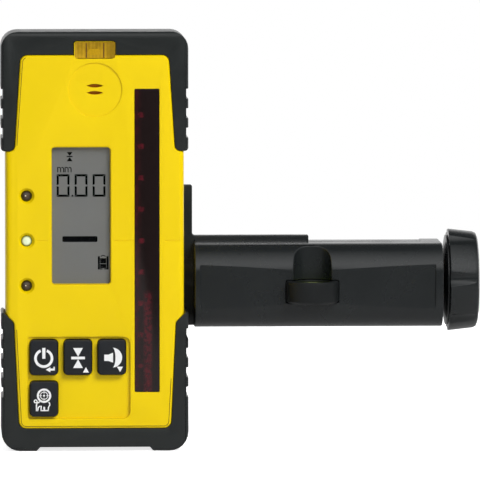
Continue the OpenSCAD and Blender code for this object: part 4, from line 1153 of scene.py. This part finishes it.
class RECEIVER_OT_detector(bpy.types.Operator):
    """Detector window and the photodiodes behind it"""

    bl_idname = "receiver.detector"
    bl_label = "Fit the detector"

    def execute(self, context):
        dress(red_polycarbonate_filter(), 0.12 * MM, "detector_window")
        dress(component_epoxy(), 0.1 * MM, "photodiodes")
        return {"FINISHED"}


class RECEIVER_OT_lamps(bpy.types.Operator):
    """The three lamps in their collars, with the middle one lit"""

    bl_idname = "receiver.lamps"
    bl_label = "Fit the lamps"

    def execute(self, context):
        bore, neck = 2.66 * MM, 2.32 * MM
        lip, seat, back = 0.72 * MM, 0.98 * MM, 1.15 * MM
        highlight_at, highlight_r, highlight_t = (-0.38, 0.14), 0.3, 0.01 * MM
        idle_lamps = ("led_upper", "led_lower")
        bm = bmesh.new()
        for node in ("led_upper", "led_centre", "led_lower"):
            dress(lamp_epoxy_idle(node) if node in idle_lamps else lamp_epoxy_lit(node), 0, node)
            turned(bm, on_panel(node), "y", [
                (lip, bore), (seat, neck), (back, neck), (back, bore), (lip, bore)])
        put("lamp_collars", bm, yellow_abs_moulded(), "receiver")
        # A painted highlight: a pale point on each unlit lamp
        for node in idle_lamps:
            highlight = printed(disc(highlight_at, highlight_r, 12), face_of(node), highlight_t)
            put(node + "_painted_highlight", highlight, lamp_painted_highlight(), "receiver")
        return {"FINISHED"}


def power_sign():
    """A broken ring with a bar, and a small return arrow."""
    ring, ring_outer, ring_inner = (-0.1, -0.29), 3.94, 2.83
    opening_end, opening_start = 112, 428
    return [
        *band(ring, ring_outer, ring_inner, opening_end, opening_start),
        *block(-0.72, -0.45, 0.6, 4.02),
        [(0.72, -4.97), (2.61, -6.04), (2.61, -3.9)],
        *block(2.61, -5.34, 3.88, -4.48),
        *block(3.88, -5.34, 4.45, -3.74),
    ]


def bandwidth_sign():
    """Two triangles against a bar, and a small up arrow."""
    return [
        [(-2.01, 3.94), (2.01, 3.94), (0.06, 0.37)],
        *block(-2.77, -0.74, 2.83, 0.37),
        [(-2.01, -4.31), (2.01, -4.31), (0.06, -0.74)],
        [(2.01, -6.2), (4.48, -6.2), (3.28, -3.94)],
    ]


def volume_sign():
    """A sounder with one sound wave, and a small down arrow."""
    steps = 20
    centre, tip, outer_w, inner_w = (0.16, -0.08), 4.1, 4.03, 1.28

    def half_ellipse(width):
        turns = [pi * (i / steps - 0.5) for i in range(steps + 1)]
        return [(centre[0] + width * cos(t), centre[1] + tip * sin(t)) for t in turns]

    outer, inner = half_ellipse(outer_w), half_ellipse(inner_w)
    return [
        *block(-3.16, -1.44, -1.44, 1.15),
        [(-1.44, -1.44), (0.45, -2.14), (0.45, 1.93), (-1.44, 1.15)],
        *between(outer[1:-1], inner[1:-1]),
        [outer[0], outer[1], inner[1]],
        [outer[-2], outer[-1], inner[-2]],
        [(2.01, -3.82), (4.56, -3.82), (3.33, -6.04)],
    ]


def memory_sign():
    """A target over a plain four-legged outline."""
    x, z = centre = (0.0, 1.42)
    hair, hair_in, hair_out = 0.12, 0.85, 2.2
    line_w, leg_w, foot_low, foot_high = 0.5, 0.55, -4.95, -4.45
    back = [(-2.9, -1.6), (-2.2, -1.35), (-1.45, -0.8)]
    front_leg = [(-2.9, -1.6), (-3.12, -2.6), (-3.08, -4.7)]
    belly = [(-2.55, -4.7), (-2.42, -3.5), (-1.85, -2.95), (-1.15, -2.8), (-1.3, -4.75)]
    rump = [(1.7, -4.75), (1.8, -3.4), (2.4, -2.4), (2.25, -1.7), (1.95, -1.2)]
    return [
        *band(centre, 2.96, 2.14),
        *band(centre, 1.66, 1.34),
        *disc(centre, 0.42),
        *block(x - hair_out, z - hair, x - hair_in, z + hair),
        *block(x + hair_in, z - hair, x + hair_out, z + hair),
        *block(x - hair, z + hair_in, x + hair, z + hair_out),
        *block(x - hair, z - hair_out, x + hair, z - hair_in),
        *band((-3.45, -0.9), 0.82, 0.36, steps=20),
        *stroke(back, line_w),
        *stroke(front_leg, leg_w),
        *block(-3.4, foot_low, -2.5, foot_high),
        *stroke(belly, line_w),
        *block(-1.5, foot_low, 1.85, foot_high),
        *rounded_block(-0.3, -4.5, 0.45, -3.1, 0.3),
        *stroke(rump, line_w),
    ]


KEY_SIGNS = {
    "power": power_sign,
    "bandwidth": bandwidth_sign,
    "volume": volume_sign,
    "memory": memory_sign,
}


class RECEIVER_OT_keys(bpy.types.Operator):
    """Soft keys with their printed signs"""

    bl_idname = "receiver.keys"
    bl_label = "Print the keys"

    def execute(self, context):
        settings = context.scene.receiver_keys
        for name, sign in KEY_SIGNS.items():
            node = "key_" + name
            dress(key_silicone_coated(), settings.edge, node)
            print_layer = printed(sign(), face_of(node), settings.ink_t)
            put(name + "_sign", print_layer, key_ink_screened(), name + "_key")
        return {"FINISHED"}


class RECEIVER_OT_level(bpy.types.Operator):
    """Block level in the top of the front panel"""

    bl_idname = "receiver.level"
    bl_label = "Fill the block level"

    def execute(self, context):
        levels = context.scene.receiver_levels
        dress(amber_acrylic_block(), 0.25 * MM, "level_vial")
        low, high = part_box("level_vial")
        face = on_panel("level_vial")
        # A thin polished flange laps over the rim of the pocket
        lap, inset, rise, corner_r, flange_t = 0.5, 0.2, 0.6, 0.7, 0.1 * MM
        half_l = (high.x - low.x) / 2 / MM + lap
        half_h = (high.z - low.z) / 2 / MM - inset
        outline = rounded_block(-half_l, -half_h, half_l, half_h + rise, corner_r)
        flange = printed(outline, face, flange_t)
        put("level_flange", flange, amber_acrylic_block(), "receiver")
        face.y -= flange_t
        bubble_t, line_w, line_t = 0.01 * MM, 0.46, 0.02 * MM
        bubble = printed(rounded_block(-2.9, -1.7, 2.1, 0.7, 1.1), face, bubble_t)
        put("level_bubble", bubble, amber_bubble(), "receiver")
        half_w = levels.line_gap / 2 / MM
        lines = [block(x - line_w / 2, -half_h, x + line_w / 2, half_h)[0] for x in (-half_w, half_w)]
        put("level_lines", printed(lines, face, line_t), amber_line_ink(), "receiver")
        return {"FINISHED"}


class RECEIVER_OT_electronics(bpy.types.Operator):
    """Board, switches, key mat, sounder and the bracket insert"""

    bl_idname = "receiver.electronics"
    bl_label = "Dress the electronics"

    def execute(self, context):
        dress(board_solder_mask(), 0, "main_board")
        dress(sounder_brown_dull(), 0.1 * MM, "buzzer")
        dress(steel_zinc_plated(), 0.1 * MM, "key_switches")
        dress(grey_elastomer_pressed(), 0.15 * MM, "key_mat")
        dress(brass_turned(), 0.2 * MM, "mount_insert")
        return {"FINISHED"}


class RECEIVER_OT_battery(bpy.types.Operator):
    """Battery door, its lock, seal and pin, and the cells with their contacts"""

    bl_idname = "receiver.battery"
    bl_label = "Fit the battery bay"

    def execute(self, context):
        edge = context.scene.receiver_housing.small_edge
        dress(yellow_abs_moulded(), 1.5 * edge, "battery_door")
        dress(black_nylon_moulded(), edge, "door_lock")
        dress(grey_elastomer_pressed(), edge, "door_seal")
        dress(steel_zinc_plated(), edge, "door_hinge_pin")
        dress(steel_zinc_plated(), 0.5 * edge, "battery_contacts")
        dress(cell_sleeve_shrunk(), 4 * edge, "battery_cells")
        return {"FINISHED"}


class RECEIVER_OT_bracket(bpy.types.Operator):
    """Bracket plate with its pins, and the captive screw with its knob"""

    bl_idname = "receiver.bracket"
    bl_label = "Dress the bracket"

    def execute(self, context):
        clamp = context.scene.receiver_clamp
        dress(black_nylon_moulded(), clamp.edge, "bracket_plate", "captive_knob")
        dress(steel_zinc_plated(), 0.5 * clamp.edge, "guide_pins")
        screws("arm_screw_set", "arm_screws", "clamp")
        self.captive_thread(clamp.captive_pitch)
        return {"FINISHED"}

    def captive_thread(self, pitch):
        """The captive screw with its thread cut, in place of the plain one."""
        low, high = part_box("captive_screw")
        radius = (high.x - low.x) / 2
        half = (high.y - low.y) / 2
        core = radius - 0.61 * pitch
        point, unthreaded, plain = 0.5 * MM, 9 * MM, 8.9 * MM
        bm = bmesh.new()
        turned(bm, (low + high) / 2, "y", [
            (-half, 0),
            (-half, 0.86 * core),
            (-half + point, core),
            *thread(-half + point, half - unthreaded, core, radius, pitch),
            (half - plain, radius),
            (half, radius),
            (half, 0),
        ])
        put("captive_thread", bm, steel_zinc_plated(), "captive", ("captive_screw",))


class RECEIVER_OT_arm(bpy.types.Operator):
    """The clamp's arm"""

    bl_idname = "receiver.arm"
    bl_label = "Mould the arm"

    def execute(self, context):
        # The facets meet the rounded edges at a slight angle that has to show
        dress(black_nylon_moulded(), context.scene.receiver_clamp.edge, "clamp_arm", limit=6)
        self.top_land()
        return {"FINISHED"}

    def top_land(self):
        """Low land along the arm's top, in front of the reading edge."""
        arm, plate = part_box("clamp_arm"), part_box("bracket_plate")
        inset, reach, depth, flat = 0.6 * MM, 88.4 * MM, 8.2 * MM, 0.5 * MM
        clearance, sunk, rise = 0.02 * MM, 0.1 * MM, 0.9 * MM
        back, foot, top = plate[0].y - clearance, arm[1].z - sunk, arm[1].z + rise
        section = ((back - depth, foot), (back, foot), (back, top), (back - flat, top))
        bm = bmesh.new()
        ends = (arm[0].x + inset, RECEIVER_ZERO.x + reach)
        left, right = ([bm.verts.new((x, y, z)) for y, z in section] for x in ends)
        bm.faces.new(left)
        bm.faces.new(reversed(right))
        for i in range(len(section)):
            bm.faces.new((left[i - 1], right[i - 1], right[i], left[i]))
        put("arm_top_land", bm, black_nylon_moulded(), "clamp")


class RECEIVER_OT_round_level(bpy.types.Operator):
    """Round level in its cup, with bubble and centre ring"""

    bl_idname = "receiver.round_level"
    bl_label = "Fill the round level"

    def execute(self, context):
        dress(black_nylon_eroded(), 0.15 * MM, "vial_cup", "vial_ring")
        low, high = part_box("round_vial")
        centre = (low + high) / 2
        centre.z = low.z
        radius = (high.x - low.x) / 2
        height = high.z - low.z
        chamfer, dome_h, steps = 0.2 * MM, 0.4 * MM, 6
        turns = [pi / 2 * i / steps for i in range(steps + 1)]
        dome = [(height + dome_h * cos(t), 0.8 * radius * sin(t)) for t in turns]
        bm = bmesh.new()
        turned(bm, centre, "z", [
            (0, 0), (0, radius), (height - chamfer, radius), (height, radius - chamfer), *reversed(dome)])
        put("round_level_spirit", bm, green_spirit(), "clamp", ("round_vial",))
        bubble_z, bubble_r, bubble_top_r, bubble_t = height + 0.38 * MM, 2.6 * MM, 2.5 * MM, 0.03 * MM
        bm = bmesh.new()
        turned(bm, centre + Vector((0, 0, bubble_z)), "z", [
            (0, 0), (0, bubble_r), (bubble_t, bubble_top_r), (bubble_t, 0)])
        put("round_level_bubble", bm, green_bubble(), "clamp")
        ring_z, ring_in, ring_out, ring_t = height + 0.2 * MM, 3.2 * MM, 3.6 * MM, 0.2 * MM
        bm = bmesh.new()
        turned(bm, centre + Vector((0, 0, ring_z)), "z", [
            (0, ring_in), (ring_t, ring_in), (ring_t, ring_out), (0, ring_out), (0, ring_in)])
        put("round_level_ring", bm, component_epoxy(), "clamp")
        return {"FINISHED"}


class RECEIVER_OT_jaws(bpy.types.Operator):
    """Moving jaw, the jaw pads and the retainer"""

    bl_idname = "receiver.jaws"
    bl_label = "Dress the jaws"

    def execute(self, context):
        clamp = context.scene.receiver_clamp
        dress(black_nylon_moulded(), clamp.edge, "moving_jaw")
        dress(black_elastomer_overmoulded(), clamp.edge, "fixed_jaw_pad", "moving_jaw_pad")
        dress(steel_zinc_plated(), 0.5 * clamp.edge, "jaw_retainer")
        return {"FINISHED"}


class RECEIVER_OT_clamp_screw(bpy.types.Operator):
    """Threaded spindle in its bush, with the knob, its flange and its cap"""

    bl_idname = "receiver.clamp_screw"
    bl_label = "Cut the clamp screw"

    def execute(self, context):
        clamp = context.scene.receiver_clamp
        dress(black_nylon_moulded(), 0.5 * clamp.edge, "clamp_knob", "knob_flange", "knob_cap")
        dress(brass_turned(), 0.5 * clamp.edge, "screw_bush")
        self.spindle_thread(clamp.spindle_pitch, clamp.spindle_starts)
        return {"FINISHED"}

    def spindle_thread(self, pitch, starts):
        """The spindle with its thread cut, its neck and its foot, in place of the plain one."""
        low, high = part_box("clamp_spindle")
        jaw_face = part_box("moving_jaw")[1].x
        step, chamfer = 0.2 * MM, 0.4 * MM
        neck_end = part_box("jaw_retainer")[1].x + step
        unthreaded, plain = 7.6 * MM, 7.4 * MM
        foot, neck = 4.0 * MM, 3.0 * MM
        radius = (high.z - low.z) / 2
        root = radius - 0.5 * pitch
        start = Vector((0, (low.y + high.y) / 2, (low.z + high.z) / 2))
        bm = bmesh.new()
        turned(bm, start, "x", [
            (low.x, 0),
            (low.x, foot - chamfer),
            (low.x + chamfer, foot),
            (jaw_face, foot),
            (jaw_face, neck),
            (neck_end, neck),
            (neck_end, root),
            *thread(neck_end + step, high.x - unthreaded, root, radius, pitch, starts),
            (high.x - plain, radius),
            (high.x, radius),
            (high.x, 0),
        ], steps=48)
        put("clamp_spindle_thread", bm, steel_zinc_plated(), "screw", ("clamp_spindle",))


class RECEIVER_PT_panel(bpy.types.Panel):
    """Lists the receiver's settings and steps"""

    bl_idname = "RECEIVER_PT_panel"
    bl_label = "Laser receiver"
    bl_space_type = "VIEW_3D"
    bl_region_type = "UI"
    bl_category = "Receiver"

    def draw(self, context):
        for step in STEPS:
            self.layout.operator(step.bl_idname)
        for name, kind in SETTINGS.items():
            box = self.layout.box()
            for prop in kind.__annotations__:
                box.prop(getattr(context.scene, name), prop)


STEPS = (
    RECEIVER_OT_stage,
    RECEIVER_OT_housing,
    RECEIVER_OT_bumpers,
    RECEIVER_OT_display,
    RECEIVER_OT_detector,
    RECEIVER_OT_lamps,
    RECEIVER_OT_keys,
    RECEIVER_OT_level,
    RECEIVER_OT_electronics,
    RECEIVER_OT_battery,
    RECEIVER_OT_bracket,
    RECEIVER_OT_arm,
    RECEIVER_OT_round_level,
    RECEIVER_OT_jaws,
    RECEIVER_OT_clamp_screw,
)
CLASSES = (*SETTINGS.values(), *STEPS, RECEIVER_PT_panel)


def register():
    for cls in CLASSES:
        bpy.utils.register_class(cls)
    for name, kind in SETTINGS.items():
        setattr(bpy.types.Scene, name, PointerProperty(type=kind))


def unregister():
    for name in SETTINGS:
        delattr(bpy.types.Scene, name)
    for cls in reversed(CLASSES):
        bpy.utils.unregister_class(cls)


def main():
    register()
    for step in STEPS:
        group, name = step.bl_idname.split(".")
        getattr(getattr(bpy.ops, group), name)()


if __name__ == "__main__":
    main()
